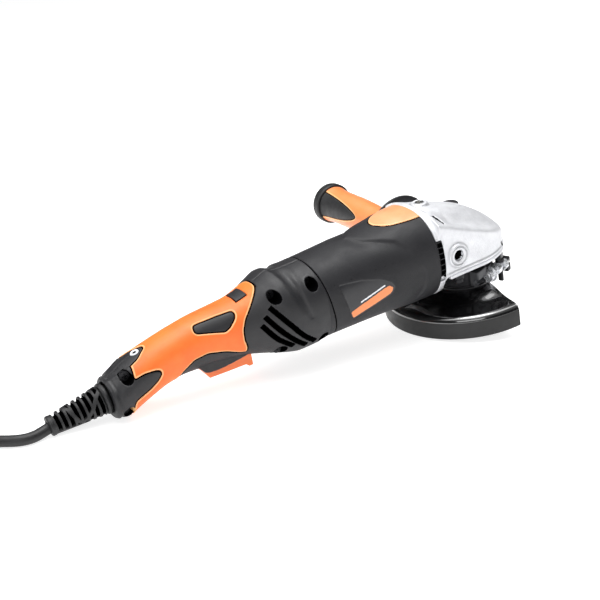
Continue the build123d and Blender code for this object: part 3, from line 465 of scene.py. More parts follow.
def on_skin(cur, x, th):
    top, bot, w = (c(x) for c in cur)
    zc, h = (top + bot) / 2, (top - bot) / 2
    c, s = np.cos(th), np.sin(th)
    r = (np.abs(c / w) ** 2.3 + np.abs(s / h) ** 2.3) ** (-1 / 2.3)
    return np.stack([x, r * c, zc + r * s], -1)


def slope(cur, f, x, th):
    """f on the skin, and how fast it changes along x and round the skin, per mm."""
    p = on_skin(cur, x, th)
    f0 = f(p)
    fx = (f(on_skin(cur, x + 0.03, th)) - f0) / 0.03
    q = on_skin(cur, x, th + 0.0015)
    r = np.linalg.norm(q - p, axis=-1) / 0.0015
    return f0, fx, (f(q) - f0) / 0.0015 / r, r


def move_to(cur, f, x, th, sel, want):
    """Slides the chosen points along the skin until f there is the wanted value, so that an edge runs along grid points."""
    for _ in range(3):
        f0, fx, ft, r = slope(cur, f, x[sel], th[sel])
        k = (want - f0) / (fx * fx + ft * ft + 0.02)
        x[sel] += np.clip(k * fx, -0.5, 0.5)
        th[sel] += np.clip(k * ft, -0.5, 0.5) / r


def dist3(p, line):
    """Distance from points to a bent line in space, and how far along it the nearest place is, from 0 to 1."""
    line = np.asarray(line, float)
    best, along = np.full(p.shape[:-1], 1e9), np.zeros(p.shape[:-1])
    n = len(line) - 1
    for i in range(n):
        a, e = line[i], line[i + 1] - line[i]
        t = np.clip(((p - a) @ e) / (e @ e), 0, 1)
        d = np.linalg.norm(p - a - t[..., None] * e, axis=-1)
        near = d < best
        best, along = np.where(near, d, best), np.where(near, (i + t) / n, along)
    return best, along


def orange_zone(p):
    x, y, z = p[..., 0], p[..., 1], p[..., 2]
    f = sd_poly(ORANGE, x, z)
    f = np.maximum(f, -sd_poly(INSET, x, z))
    finger = np.where(z > -2.0, sd_poly(FINGER, x, y), 50.0)
    return np.maximum(f, -finger)


def slot_zone(p):
    return np.minimum.reduce([sd_line(s, p[..., 0], p[..., 2], 1.95) for s in SLOTS])


def front_holes(p):
    return np.minimum.reduce([np.hypot(p[..., 0] - x, p[..., 2] - z) - 4.7 for x, z in FRONT_HOLES])


def rear_holes(p):
    return np.minimum.reduce([np.hypot(p[..., 0] - x, p[..., 2] - z) - 4.3 for x, z in REAR_HOLES])


def hole_zone(p):
    return np.minimum(front_holes(p), rear_holes(p))


def mouth_zone(p):
    d = np.maximum(np.abs(p[..., 0] + 220.6) - 22.3, np.abs(p[..., 1]) - 9.4)
    return np.where(p[..., 2] < -8.0, d, 30.0)


def button_zone(p):
    d = np.maximum(np.abs(p[..., 0] + 200.0) - 5.2, np.abs(p[..., 1]) - 8.5)
    return np.where(p[..., 2] > 8.0, d, 30.0)


def lens_zone(p):
    d = np.hypot(p[..., 0] + 284.4, p[..., 1]) - 3.3
    return np.where(p[..., 2] > 2.0, d, 30.0)


def collar_zone(p):
    return p[..., 0] + 144.6 - 0.135 * (31.5 - p[..., 2])


def skin(cur, x, th, pits, colour, soften):
    """The grid with its edges slid into place and its hollows pushed in. pits: (zone, depth or ('y', value), open floor)."""
    step = 0.5
    taken = np.zeros(x.shape, bool)
    for f, depth, opened in pits:
        f0, fx, ft, r = slope(cur, f, x, th)
        d = f0 / np.maximum(np.hypot(fx, ft), 0.3)
        rim = (np.abs(d) < 0.55 * step) & (np.abs(f0) < 3.0) & ~taken
        foot = (d <= -0.55 * step) & (d > -1.7 * step) & (np.abs(f0) < 3.0) & ~taken
        move_to(cur, f, x, th, rim, 0.0)
        move_to(cur, f, x, th, foot, -0.12)
        taken |= rim | foot
    for f, at in colour:
        f0, fx, ft, r = slope(cur, f, x, th)
        g = np.maximum(np.hypot(fx, ft), 0.3)
        rim = (np.abs(f0 / g - at) < 0.5 * step) & (np.abs(f0) < 4.0) & ~taken
        move_to(cur, f, x, th, rim, (at * g)[rim])
        taken |= rim
    p = on_skin(cur, x, th)
    base = p.copy()
    c, s = np.cos(th), np.sin(th)
    off, cav = soften(p, x, th)
    state = {}
    # pits are pushed in, and inside them the point value 'cav' is set to 1 for painted shade
    for f, depth, opened in pits:
        v = f(base)
        state[f] = v
        inside = v < -0.06
        if not isinstance(depth, tuple):
            off = np.where(inside, -depth, off)
            cav = np.where(inside, 1.0, cav)
    p[..., 1] += off * c
    p[..., 2] += off * s
    for f, depth, opened in pits:
        if isinstance(depth, tuple):
            inside = (state[f] < -0.06) & (base[..., 1] < depth[1] - 0.3)
            p[..., 1] = np.where(inside, depth[1], p[..., 1])
            cav = np.where(inside, 1.0, cav)
    return p, base, cav, state


HCUR, MCUR = curves(HANDLE), curves(MOTOR)


def zone_distance(cur, f, p, x, th):
    f0, fx, ft, r = slope(cur, f, x, th)
    return f0 / np.maximum(np.hypot(fx, ft), 0.35)


SCOOP = [(-165.5, 0.0, 32.4), (-164.6, -12.0, 30.2), (-163.6, -20.8, 25.7), (-161.6, -28.2, 15.8), (-160.2, -31.1, 7.0), (-157.9, -31.5, -1.9)]


def handle_soft(p, x, th):
    """Grooves, lips and soft hollows of the handle, as distance out from the plain skin."""
    d = zone_distance(HCUR, orange_zone, p, x, th)
    off = np.where(d < 0, 0.28, 0.0) * ease(np.abs(d) / 0.8)
    off = off - 0.75 * np.exp(-((d - 0.5) / 0.42) ** 2) + 0.22 * np.exp(-((d + 0.55) / 0.45) ** 2)
    # painted shade in the groove just outside the orange, as the point value 'cav'
    cav = 0.9 * np.exp(-((d - 0.45) / 0.42) ** 2)
    cav = np.where(d < 0.02, 0.0, cav)
    # scoop between the front ring and the vent bulge
    q = p.copy()
    q[..., 1] = -np.abs(q[..., 1])
    ds, along = dist3(q, SCOOP)
    wide = 8.0 * (1 - along) ** 0.6 + 1.2
    front = x > np.interp(along, np.linspace(0, 1, len(SCOOP)), [k[0] for k in SCOOP])
    off -= (2.3 * (1 - along) ** 0.45 + 0.1) * (0.5 + 0.5 * ease(along / 0.25)) * np.where(front, np.exp(-(ds / (1.5 + 5.0 * (1 - along) ** 4)) ** 2), np.exp(-(ds / wide) ** 2))
    # ridge behind it, and the soft edge of the ring
    ridge, al2 = dist3(q, [(-173.2, 0.0, 33.2), (-170.6, -15.9, 29.2), (-170.0, -26.0, 18.5), (-164.5, -31.0, 4.5)])
    off += 0.8 * (1 - 0.7 * al2) * np.exp(-(ridge / 2.4) ** 2)
    # thin groove of the collar line, its faces given painted black shade further down
    off -= 1.0 * np.exp(-(collar_zone(p) / 0.5) ** 2)
    # bead round the end of the rear cap
    off += 0.55 * np.exp(-((x - HEEL - 1.5) / 0.9) ** 2) - 0.5 * np.exp(-((x - HEEL - 3.6) / 0.6) ** 2)
    # flat shoulder on the rear cap
    sh, _ = dist3(q, [(-310.0, -4.0, 0.2), (-298.0, -9.7, 5.3), (-288.0, -11.0, 8.6)])
    off += 0.5 * np.exp(-(sh / 1.6) ** 2) * ease((-290.0 - x) / 5.0)
    # parting line between the two shells
    seam = np.abs(p[..., 1])
    off -= 0.5 * np.exp(-(seam / 0.34) ** 2) * np.where(d > 0, 1.0, 0.15)
    # painted shade along the parting line on the black shell
    cav = np.maximum(cav, 0.95 * np.exp(-(seam / 0.36) ** 2) * np.where(d > 0, 1.0, 0.0))
    # raised lips round the screw holes
    hz = hole_zone(q)
    off += np.where(hz > 0, 0.22 * np.exp(-((hz - 0.5) / 0.5) ** 2), 0) * (p[..., 1] < 0)
    sz = slot_zone(p)
    off += np.where(sz > 0, 0.14 * np.exp(-((sz - 0.4) / 0.4) ** 2), 0)
    return off, cav


NX, NT = 360, 196
HEEL = -311.2
for side, word in ((-1, "right"), (1, "left")):
    xs = np.linspace(-143.5, HEEL, NX)
    ts = np.linspace(math.pi / 2, math.pi * 1.5, NT) if side < 0 else np.linspace(math.pi / 2, -math.pi / 2, NT)
    X, TH = np.meshgrid(xs, ts, indexing="ij")
    X, TH = X.copy(), TH.copy()
    edge_x, edge_t = X.copy(), TH.copy()
    pits = [(slot_zone, 4.2, False), (mouth_zone, 3.0, True), (button_zone, 2.6, True), (lens_zone, 1.2, False)]
    if side < 0:
        pits = [(front_holes, ("y", -12.0), False), (rear_holes, ("y", -6.0), False)] + pits
    X2, T2 = X, TH
    P, B0, CAV, ST = skin(HCUR, X2, T2, pits, [(orange_zone, 0.0), (orange_zone, 1.05), (collar_zone, -0.45), (collar_zone, 0.45)], handle_soft)
    # the rear end turns in round the sleeve
    rows = [P]
    last, lt = P[-1], T2[-1]
    for t, dx, rr in ((0.12, -0.30, 11.75), (0.3, -0.5, 11.75), (0.6, -0.55, 11.75), (1.0, -0.4, 11.75), (1.0, 0.6, 11.6), (1.0, 4.0, 11.6)):
        ring = np.stack([np.full(NT, HEEL + dx), rr * np.cos(lt), -11.9 + rr * np.sin(lt)], -1)
        a = np.stack([np.full(NT, HEEL + dx), last[:, 1], last[:, 2]], -1)
        rows.append((a * (1 - t) + ring * t)[None])
    PP = np.concatenate(rows)
    extra = len(PP) - NX
    CV = np.concatenate([CAV, np.zeros((extra, NT))])
    # painted shade on the last row, where the end turns in round the sleeve
    CV[-1] = 0.9
    OZ = np.concatenate([orange_zone(B0), np.full((extra, NT), 5.0)])
    F = grid_faces(len(PP), NT)
    if side > 0:
        F = F[:, ::-1]
    fz = OZ.ravel()[F].mean(1)
    keep = np.ones(len(F), bool)
    for f, depth, opened in pits:
        if opened:
            v = np.concatenate([ST[f], np.full((extra, NT), 30.0)]).ravel()[F]
            keep &= ~(v.max(1) < -0.03)
    V3 = T(PP.reshape(-1, 3))
    PD = np.concatenate([zone_distance(HCUR, orange_zone, B0, X2, T2), np.full((extra, NT), 5.0)])
    # 'rim' marks the painted highlight on the orange lip beside the groove
    at = {"cav": CV.ravel(), "rim": (0.85 * np.exp(-((PD + 0.5) / 0.42) ** 2)).ravel()}
    dz = np.concatenate([zone_distance(HCUR, orange_zone, B0, X2, T2), np.full((extra, NT), 5.0)]).ravel()[F].mean(1)
    # faces in the groove line, inside the pits and along the collar line get the flat black painted shade
    shade_faces = (dz >= 0) & (dz < 1.0)
    for f, depth, opened in pits:
        inner = ST[f] < -0.06
        if isinstance(depth, tuple):
            inner &= B0[..., 1] < depth[1] - 0.3
        shade_faces |= np.concatenate([inner, np.zeros((extra, NT), bool)]).ravel()[F].any(1)
    shade_faces |= np.abs(np.concatenate([collar_zone(B0), np.full((extra, NT), 30.0)]).ravel()[F].mean(1)) < 0.4
    some = keep & (fz >= 0)
    v, f, a = part_of(V3, F, some, at)
    piece(mesh_from("handle_half_" + word, v, f, [MAT["black_plastic"], MAT["deep_hollow"]], face_mat=shade_faces[some], attrs=a), "housing", "black_plastic", "handle_shell_" + word)
    v, f, a = part_of(V3, F, keep & (fz < 0), at)
    piece(mesh_from("soft_grip_" + word, v, f, [MAT["orange_grip"]], attrs=a), "housing", "orange_grip", "grip_overmould_" + word)

# ---------------------------------------------------------------- motor housing
LEAF = [(-46.0, 18.0), (-50, 18.0), (-56.3, 17.5), (-62, 16.4), (-68.5, 14.2), (-73.0, 11.2), (-76.5, 7.4), (-78.6, 3.2), (-79.1, 0.0)]
LEAF = round_poly([(-40.0, -18.0)] + [(x, -y) for x, y in LEAF] + [(x, y) for x, y in LEAF[-2::-1]] + [(-40.0, 18.0)], 1.6, 3)
LABEL = round_poly([(-132.0, 14.2), (-113.5, 11.8), (-98.0, 7.2), (-89.0, 1.8), (-86.4, -3.4), (-89.8, -8.0), (-122.8, -17.9), (-126.2, -10.6)], 1.6)
BAR = round_poly([(-125.7, -10.5), (-123.2, -16.7), (-90.6, -6.9), (-88.2, -3.6), (-90.9, -0.4), (-94.7, -0.7)], 1.5)
LINE = np.array([(-117.0, -5.9), (-116.5, -4.5), (-95.0, 1.7), (-94.9, 0.5)])


def leaf_zone(p):
    return np.where(p[..., 2] > 15.0, sd_poly(LEAF, p[..., 0], p[..., 1]), 40.0)


def near_side(f):
    def g(p):
        return np.where(p[..., 1] < -12.0, f(p), 40.0)
    return g


label_zone = near_side(lambda p: sd_poly(LABEL, p[..., 0], p[..., 2]))
bar_zone = near_side(lambda p: sd_poly(BAR, p[..., 0], p[..., 2]))
line_zone = near_side(lambda p: sd_poly(LINE, p[..., 0], p[..., 2]))


WAVE = [(-112.0, 6.0, 32.6), (-103.2, -3.0, 33.4), (-97.0, -13.7, 31.6), (-85.9, -21.0, 29.8), (-77.0, -26.2, 26.8), (-70.5, -32.2, 20.4), (-66.0, -36.0, 10.0)]
CRESCENT = [(-63.5, -37.4, 8.0), (-61.0, -37.2, 0.0), (-60.0, -36.7, -5.6), (-61.7, -34.6, -14.0), (-65.5, -31.4, -19.7), (-71.0, -29.0, -23.0)]


def motor_soft(p, x, th):
    d = zone_distance(MCUR, leaf_zone, p, x, th)
    d = np.where(d > 20, 20, d)
    off = np.where(d < 0, 0.3, 0.0) * ease(np.abs(d) / 0.8)
    off = off - 0.75 * np.exp(-((d - 0.5) / 0.42) ** 2) + 0.2 * np.exp(-((d + 0.55) / 0.45) ** 2)
    # painted shade in the groove round the leaf, as the point value 'cav'
    cav = np.where(d < 0.02, 0.0, 0.9 * np.exp(-((d - 0.45) / 0.42) ** 2))
    q = p.copy()
    q[..., 1] = -np.abs(q[..., 1])
    # flowing crease from the top to the side, sharp above and fading below
    w, along = dist3(q, WAVE)
    fade = ease(along / 0.35) * ease((1 - along) / 0.35)
    above = (q[..., 2] * 0.8 + q[..., 0] * 0.6) > (np.interp(along, np.linspace(0, 1, len(WAVE)), [a[2] * 0.8 + a[0] * 0.6 for a in WAVE]))
    off -= 1.4 * fade * np.where(above, np.exp(-(w / 1.8) ** 2), np.exp(-(w / 7.5) ** 2))
    # crescent hollow behind the lower front edge
    w2, al2 = dist3(q, CRESCENT)
    fade2 = ease(al2 / 0.2) * ease((1 - al2) / 0.3)
    front = q[..., 0] > np.interp(al2, np.linspace(0, 1, len(CRESCENT)), [a[0] for a in CRESCENT])
    off -= 0.95 * fade2 * np.where(front, np.exp(-(w2 / 1.0) ** 2), np.exp(-(w2 / 6.0) ** 2))
    # rear and front edges turn in
    off -= 1.0 * np.exp(-(collar_zone(p) / 0.5) ** 2) + 0.9 * np.exp(-((x + 46.0) / 0.45) ** 2)
    # label recess, plain film and its bar
    lz = label_zone(p)
    deep = 0.5 * (0.35 + 0.65 * ease((-96.0 - x) / 22.0))
    off -= deep * ease((0.35 - lz) / 0.7)
    off += 0.12 * ease((0.1 - bar_zone(p)) / 0.3)
    return off, cav


MX, MT = 200, 440
X, TH = np.meshgrid(np.linspace(-46.05, -143.45, MX), np.linspace(0, 2 * math.pi, MT, endpoint=False) + math.pi / 2, indexing="ij")
X, TH = X.copy(), TH.copy()
P, B0, CAV, ST = skin(MCUR, X, TH, [], [(leaf_zone, 0.0), (leaf_zone, 1.0), (label_zone, 0.0), (bar_zone, 0.0), (line_zone, 0.0), (collar_zone, -0.45), (collar_zone, 0.45)], motor_soft)
F = grid_faces(MX, MT, wrap=True)
PD = zone_distance(MCUR, leaf_zone, B0, X, TH)
# 'rim' marks the painted highlight on the leaf's lip
V3, at = T(P.reshape(-1, 3)), {"cav": CAV.ravel(), "rim": (0.85 * np.exp(-((np.clip(PD, -9, 9) + 0.5) / 0.42) ** 2)).ravel()}
lf, lb = leaf_zone(B0).ravel()[F].mean(1), label_zone(B0).ravel()[F].mean(1)
dz = zone_distance(MCUR, leaf_zone, B0, X, TH).ravel()[F].mean(1)
# faces in the groove round the leaf and along the collar line get the flat black painted shade
shade_faces = ((dz >= 0) & (dz < 0.95)) | (np.abs(collar_zone(B0).ravel()[F].mean(1)) < 0.4)
some = (lf >= 0) & (lb >= 0)
v, f, a = part_of(V3, F, some, at)
piece(mesh_from("motor_case", v, f, [MAT["motor_plastic"], MAT["deep_hollow"]], face_mat=shade_faces[some], attrs=a), "housing", "motor_plastic", "motor_housing")
v, f, a = part_of(V3, F, lf < 0, at)
piece(mesh_from("leaf_panel", v, f, [MAT["leaf_orange"]], attrs=a), "housing", "orange_plastic", "top_panel")
kind = np.where(bar_zone(B0).ravel()[F].mean(1) < 0, 1, np.where(line_zone(B0).ravel()[F].mean(1) < 0, 2, 0))
keep = lb < 0
v, f, a = part_of(V3, F, keep, at)
piece(mesh_from("plain_label", v, f, [MAT["plate_film"], MAT["bar_orange"], MAT["clear_white"]], face_mat=kind[keep], attrs=a), "housing", "plate_film", "nameplate")

# ---------------------------------------------------------------- cast and soft shapes from distance fields
def surface_net(f, lo, hi, h):
    """Quads on the zero surface of f over a box: one point in every cell that the surface crosses. Points in mm."""
    lo, hi = np.array(lo, float), np.array(hi, float)
    n = np.ceil((hi - lo) / h).astype(int) + 1
    ax = [lo[k] + h * np.arange(n[k]) for k in range(3)]
    g = np.empty(n, np.float32)
    for i in range(0, n[0], 24):
        x, y, z = np.meshgrid(ax[0][i:i + 24], ax[1], ax[2], indexing="ij")
        g[i:i + 24] = f(x, y, z)
    g = np.where(np.abs(g) < 1e-5, 1e-5, g)
    ins = g < 0
    total, count = np.zeros(tuple(n - 1) + (3,), np.float32), np.zeros(tuple(n - 1), np.float32)
    quads = []
    idx = np.arange(np.prod(n - 1)).reshape(tuple(n - 1))
    for k in range(3):
        a = [slice(None)] * 3
        b = [slice(None)] * 3
        a[k], b[k] = slice(0, -1), slice(1, None)
        g0, g1, s0 = g[tuple(a)], g[tuple(b)], ins[tuple(a)]
        where = np.argwhere(s0 != ins[tuple(b)])
        t = g0[tuple(where.T)] / (g0[tuple(where.T)] - g1[tuple(where.T)])
        pos = where.astype(np.float32)
        pos[:, k] += t
        u, v = (k + 1) % 3, (k + 2) % 3
        for du in (0, -1):
            for dv in (0, -1):
                c = where.copy()
                c[:, u] += du
                c[:, v] += dv
                ok = (c >= 0).all(1) & (c < n - 1).all(1)
                np.add.at(total, tuple(c[ok].T), pos[ok])
                np.add.at(count, tuple(c[ok].T), 1)
        ok = (where[:, u] > 0) & (where[:, v] > 0) & (where[:, u] < n[u] - 1) & (where[:, v] < n[v] - 1)
        w = where[ok]
        corner = []
        for du, dv in ((-1, -1), (0, -1), (0, 0), (-1, 0)):
            c = w.copy()
            c[:, u] += du
            c[:, v] += dv
            corner.append(idx[tuple(c.T)])
        q = np.stack(corner, -1)
        flip = ~s0[tuple(w.T)]
        q[flip] = q[flip][:, ::-1]
        quads.append(q)
    quads = np.concatenate(quads)
    used = np.argwhere(count.ravel() > 0).ravel()
    renum = np.full(count.size, -1)
    renum[used] = np.arange(len(used))
    pts = total.reshape(-1, 3)[used] / count.ravel()[used][:, None]
    return lo + pts * h, renum[quads]


def smin(a, b, k):
    h = np.clip(0.5 + 0.5 * (b - a) / k, 0, 1)
    return b + (a - b) * h - k * h * (1 - h)


def smax(a, b, k):
    return -smin(-a, -b, k)


def bar_d(x, y, z, a, b, r):
    a, b = np.array(a, float), np.array(b, float)
    e = b - a
    t = np.clip(((x - a[0]) * e[0] + (y - a[1]) * e[1] + (z - a[2]) * e[2]) / (e @ e), 0, 1)
    return np.sqrt((x - a[0] - t * e[0]) ** 2 + (y - a[1] - t * e[1]) ** 2 + (z - a[2] - t * e[2]) ** 2) - r


# gear housing: flange, rounded crown with two sloping cheeks, bosses and a lip along its foot
HEAD_TOP = pchip([-46, -40, -28, -10, 8, 18, 24, 29, 32, 34, 35.4, 36.4], [36.6, 36.4, 35, 30, 22, 15.2, 9.8, 3.4, -2.2, -8.5, -18.5, -26])


def head_field(x, y, z):
    ay = np.abs(y)
    wide = 34.2 + 1.0 * ease((-30.0 - x) / 12.0)
    plan = np.where(x <= -4, ay - wide, (np.sqrt((np.maximum(x + 4, 0) / 39.4) ** 2 + (y / 34.2) ** 2) - 1) * 34.6)
    top = (z - HEAD_TOP(x) + 0.0016 * ay * ay) * 0.86
    crease = 12.5 - 0.42 * x
    edge = np.where(x <= -4, wide, 34.2 * np.sqrt(np.clip(1 - ((x + 4) / 39.4) ** 2, 0, 1)))
    cheek = (z - crease - (edge - ay) * 0.50 + 2.4 * np.exp(-((ay - 24.0) / 7.0) ** 2) * ease((x + 34) / 10) * ease((22 - x) / 20)) * 0.88
    d = smax(top, cheek, 1.6)
    d = smax(d, plan, 2.4)
    d = smax(d, -13.2 - z, 0.8)
    d = smax(d, -42.0 - x, 0.6)
    foot = np.maximum(np.maximum(plan - 0.5, np.abs(z + 12.2) - 1.0), -42.0 - x)
    d = smin(d, foot, 1.0)
    # flange against the motor housing
    sec = ((np.abs(y) / 38.0) ** 2.3 + (np.abs(z - 2.5) / 36.5) ** 2.3) ** (1 / 2.3)
    flange = smax((sec - 1.0) * 37.0, np.abs(x + 43.45) - 2.55, 1.0)
    d = smin(d, flange, 2.2)
    # seats for the outlet grilles
    d = np.maximum(d, -np.maximum(np.maximum(np.abs(z - 2.3) - 16.6, 32.5 - ay), x + 41.2))
    # pad for the top screw
    pad = smax(np.hypot(x + 31.5, y - 2.0) - 6.4, np.abs(z - 30.0) - 7.6, 0.8)
    d = smin(d, pad, 1.6)
    d = smax(d, -np.maximum(np.hypot(x + 31.5, y - 2.0) - 3.9, 36.3 - z), 0.5)
    # side handle bosses, each with a turned face and a threaded hole
    rb = np.hypot(x + 27.0, z - 1.0)
    boss = smax(rb - 9.2, ay - 36.4, 0.7)
    d = smin(d, boss, 1.3)
    d = np.maximum(d, -np.maximum(np.abs(rb - 7.2) - 0.55, 35.5 - ay))
    d = np.maximum(d, -np.maximum(rb - 4.25 - 0.9 * ease((ay - 35.4) / 1.0), 20.0 - ay))
    # slits beside the flange, the hollow next to them and a short slot on the nose; the slits and the slot get painted
    # black shade further down
    for s in (-1, 1):
        d = np.maximum(d, -bar_d(x, y, z, (-37.6, s * 23.5, 33.0), (-34.6, s * 29.5, 27.6), 1.5))
        d = smax(d, -(np.sqrt((x + 27.0) ** 2 + (y - s * 22.5) ** 2 + (z - 49.0) ** 2) - 16.6), 2.0)
        d = np.maximum(d, -bar_d(x, y, z, (22.6, s * 25.5, -8.5), (24.6, s * 24.8, -12.6), 1.1))
    # lower flange screw seats
    for s in (-1, 1):
        d = np.maximum(d, -np.maximum(np.hypot(y - s * 22.0, z + 25.0) - 4.5, -41.0 - x))
    # room for the spindle lock button, and the bearing bore below
    d = smax(d, -np.maximum(np.hypot(x - 6.0, y - 15.2) - 8.0, 12.9 - z), 1.2)
    d = np.maximum(d, -np.maximum(np.hypot(x, y) - 27.0, z + 8.0))
    return d


v, f = surface_net(head_field, (-47.2, -40.0, -36.0), (42.0, 40.0, 41.0), 0.62)
mid = v[f].mean(1)
# faces in the slits and the nose slot get the flat black painted shade
slit_shade_faces = np.zeros(len(f), bool)
for s in (-1, 1):
    slit_shade_faces |= bar_d(mid[:, 0], mid[:, 1], mid[:, 2], (-37.6, s * 23.5, 33.0), (-34.6, s * 29.5, 27.6), 1.65) < 0
    slit_shade_faces |= bar_d(mid[:, 0], mid[:, 1], mid[:, 2], (22.6, s * 25.5, -8.5), (24.6, s * 24.8, -12.6), 1.25) < 0
ring_d = np.hypot(v[:, 0] + 27.0, v[:, 2] - 1.0)
# painted shade, as the point value 'cav', in the grooves and creases round the side bosses, above the foot lip and
# round the top screw pad
crease_shade = 0.42 * np.exp(-((ring_d - 7.2) / 0.65) ** 2) * (np.abs(v[:, 1]) > 34.9) + 0.22 * np.exp(-((ring_d - 9.9) / 0.8) ** 2) * (np.abs(v[:, 1]) > 33.8)
crease_shade += 0.32 * np.exp(-((v[:, 2] + 10.9) / 0.6) ** 2) * (v[:, 0] > -38)
crease_shade += 0.4 * np.exp(-((np.hypot(v[:, 0] + 31.5, v[:, 1] - 2.0) - 7.2) / 0.9) ** 2) * (v[:, 2] > 30)
piece(mesh_from("gear_case", T(v), f, [MAT["cast_aluminium"], MAT["deep_hollow"]], face_mat=slit_shade_faces, attrs={"cav": crease_shade}), "housing", "cast_aluminium", "gear_housing")

# threads in the two side holes
for s, word in ((-1, "right"), (1, "left")):
    ph, yy = np.meshgrid(np.linspace(0, 2 * math.pi, 48, endpoint=False), np.linspace(35.6, 21.0, 120), indexing="ij")
    r = 4.12 - 0.42 * (0.5 + 0.5 * np.cos(2 * math.pi * (yy / 1.25 - ph / (2 * math.pi)))) * ease((35.6 - yy) / 0.8)
    v = np.stack([-27.0 + r * np.cos(ph), s * yy, 1.0 + r * np.sin(ph)], -1)
    f = grid_faces(120, 48, wrap=True)
    v = v.transpose(1, 0, 2).reshape(-1, 3)
    # the deeper part of each hole gets the flat black painted shade
    piece(mesh_from("thread_" + word, T(v), f if s > 0 else f[:, ::-1], [MAT["bearing_steel"], MAT["deep_hollow"]], face_mat=(f // 48).min(1) > 16), "housing", "cast_aluminium")

# ---------------------------------------------------------------- guard: pressed plate with a rolled shoulder, a stiffening rib and a straight front
GUARD = [(24.2, -38.4), (27.5, -38.45), (33.0, -39.2), (39.0, -40.6), (45.0, -41.8), (50.0, -42.25), (55.0, -42.32), (60.6, -42.35),
         (62.4, -42.55), (63.9, -43.15), (65.1, -44.2), (65.85, -45.6), (66.15, -47.0), (66.2, -48.4), (66.2, -51), (66.2, -55), (66.2, -58.6), (66.15, -59.5), (65.7, -60.0), (65.1, -60.0), (64.7, -59.5)]
gl = np.array(GUARD)
seg = np.concatenate([[0], np.cumsum(np.hypot(*np.diff(gl, axis=0).T))])
fine = np.linspace(0, seg[-1], 150)
gr, gz = pchip(seg, gl[:, 0])(fine), pchip(seg, gl[:, 1])(fine)
inner = []
for (r0, z0), (r1, z1) in zip(np.stack([gr, gz], -1)[:-4], np.stack([gr, gz], -1)[1:-3]):
    n = np.array([z1 - z0, -(r1 - r0)])
    n = n / max(np.hypot(*n), 1e-9)
    inner.append(((r0 + r1) / 2 + n[0] * 1.6, (z0 + z1) / 2 + n[1] * 1.6))
inner = np.array(inner)[::-1]
inner = inner[(inner[:, 1] > -59.4)]
ring = np.concatenate([np.stack([gr, gz], -1), inner])
NG = 220
vv = np.linspace(0, 1, NG)
rr, zz = ring[:, 0], ring[:, 1]
ph0 = np.arccos(np.clip(11.0 / rr, -1, 1))
PH = ph0[:, None] + vv[None, :] * (2 * math.pi - 2 * ph0[:, None])
RR, ZZ = np.repeat(rr[:, None], NG, 1), np.repeat(zz[:, None], NG, 1)
gx, gy = RR * np.cos(PH), RR * np.sin(PH)
# a ridge pressed up towards the straight edge, one each side, steep within and falling gently outwards
for s in (-1, 1):
    a, b = np.array([-18.5, s * 38.2]), np.array([7.2, s * 34.4])
    e = (b - a) / np.hypot(*(b - a))
    t = ((gx - a[0]) * e[0] + (gy - a[1]) * e[1]) / np.hypot(*(b - a))
    n = ((gy - a[1]) * e[0] - (gx - a[0]) * e[1]) * s
    ridge = np.where(n > 0, ease((11.0 - n) / 11.0), ease((n + 2.6) / 2.6)) * ease(t / 0.6) * ease((1.04 - t) / 0.10)
    ZZ = ZZ + np.where(ZZ > -45.2, 1.5 * ridge, 0)
ga = math.radians(-8.6)
gp = np.stack([gx * math.cos(ga) - gy * math.sin(ga), gx * math.sin(ga) + gy * math.cos(ga), ZZ], -1)
nr = len(ring)
F = grid_faces(nr, NG)
wrap_rows = np.stack([np.full(NG - 1, nr - 1) * NG + np.arange(NG - 1), np.full(NG - 1, nr - 1) * NG + np.arange(1, NG), np.arange(1, NG), np.arange(NG - 1)], -1)
no = len(gr)
caps = []
for col in (0, NG - 1):
    for i in range(min(no, len(inner)) - 1):
        a, b = i, i + 1
        c2, d2 = nr - 1 - i, nr - 2 - i
        if d2 < no - 4:
            break
        caps.append((a * NG + col, b * NG + col, d2 * NG + col, c2 * NG + col))
F = np.concatenate([F, wrap_rows, np.array(caps)])
low = gp.reshape(-1, 3)[F][..., 2].mean(1) < -46.4
piece(mesh_from("wheel_guard", T(gp.reshape(-1, 3)), F, [MAT["guard_paint"], MAT["guard_skirt"]], face_mat=low), "guard", "guard_paint", "guard_shell")

# ---------------------------------------------------------------- lead sleeve: ribs with windows between them and a waving spine on each side
SA, SB = np.array([-306.0, 0.0, -11.5]), np.array([-356.0, 0.0, -15.6])
SD = (SB - SA) / np.linalg.norm(SB - SA)
SU = np.array([-SD[2], 0.0, SD[0]]) * -1.0
SPINE = [(6.0, 8.0), (10.0, 20.0), (15.0, 48.0), (20.0, 84.0), (25.0, 114.0), (28.5, 124.0), (31.0, 108.0), (33.2, 66.0), (35.2, 24.0), (37.0, 2.0)]
FOOT = [(27.0, 150.0), (34.0, 148.0), (40.0, 138.0), (47.0, 128.0)]


def sleeve_cut(s, a):
    """How much of the full wall is cut away, 0 to 1, at s mm along the sleeve and a degrees from its top."""
    rad = 11.1 - (s - 9.0) / 41.0 * 4.3
    gap = np.abs(((s - 10.4) / 4.5) % 1.0 - 0.5)
    w = ease((0.33 - gap) / 0.09) * (s > 10.4) * (s < 10.4 + 4.5 * 8.02)
    aa = np.abs((a + 180.0) % 360.0 - 180.0)
    k = math.pi / 180.0 * 9.0
    d, _ = dist3(np.stack([s, aa * k, 0 * s], -1), [(p, q * k, 0.0) for p, q in SPINE])
    d2, _ = dist3(np.stack([s, aa * k, 0 * s], -1), [(p, q * k, 0.0) for p, q in FOOT])
    w = w * ease((d - 1.15) / 0.5) * ease((d2 - 2.2) / 0.5) * ease((172.0 - aa) / 4.0)
    return w, rad


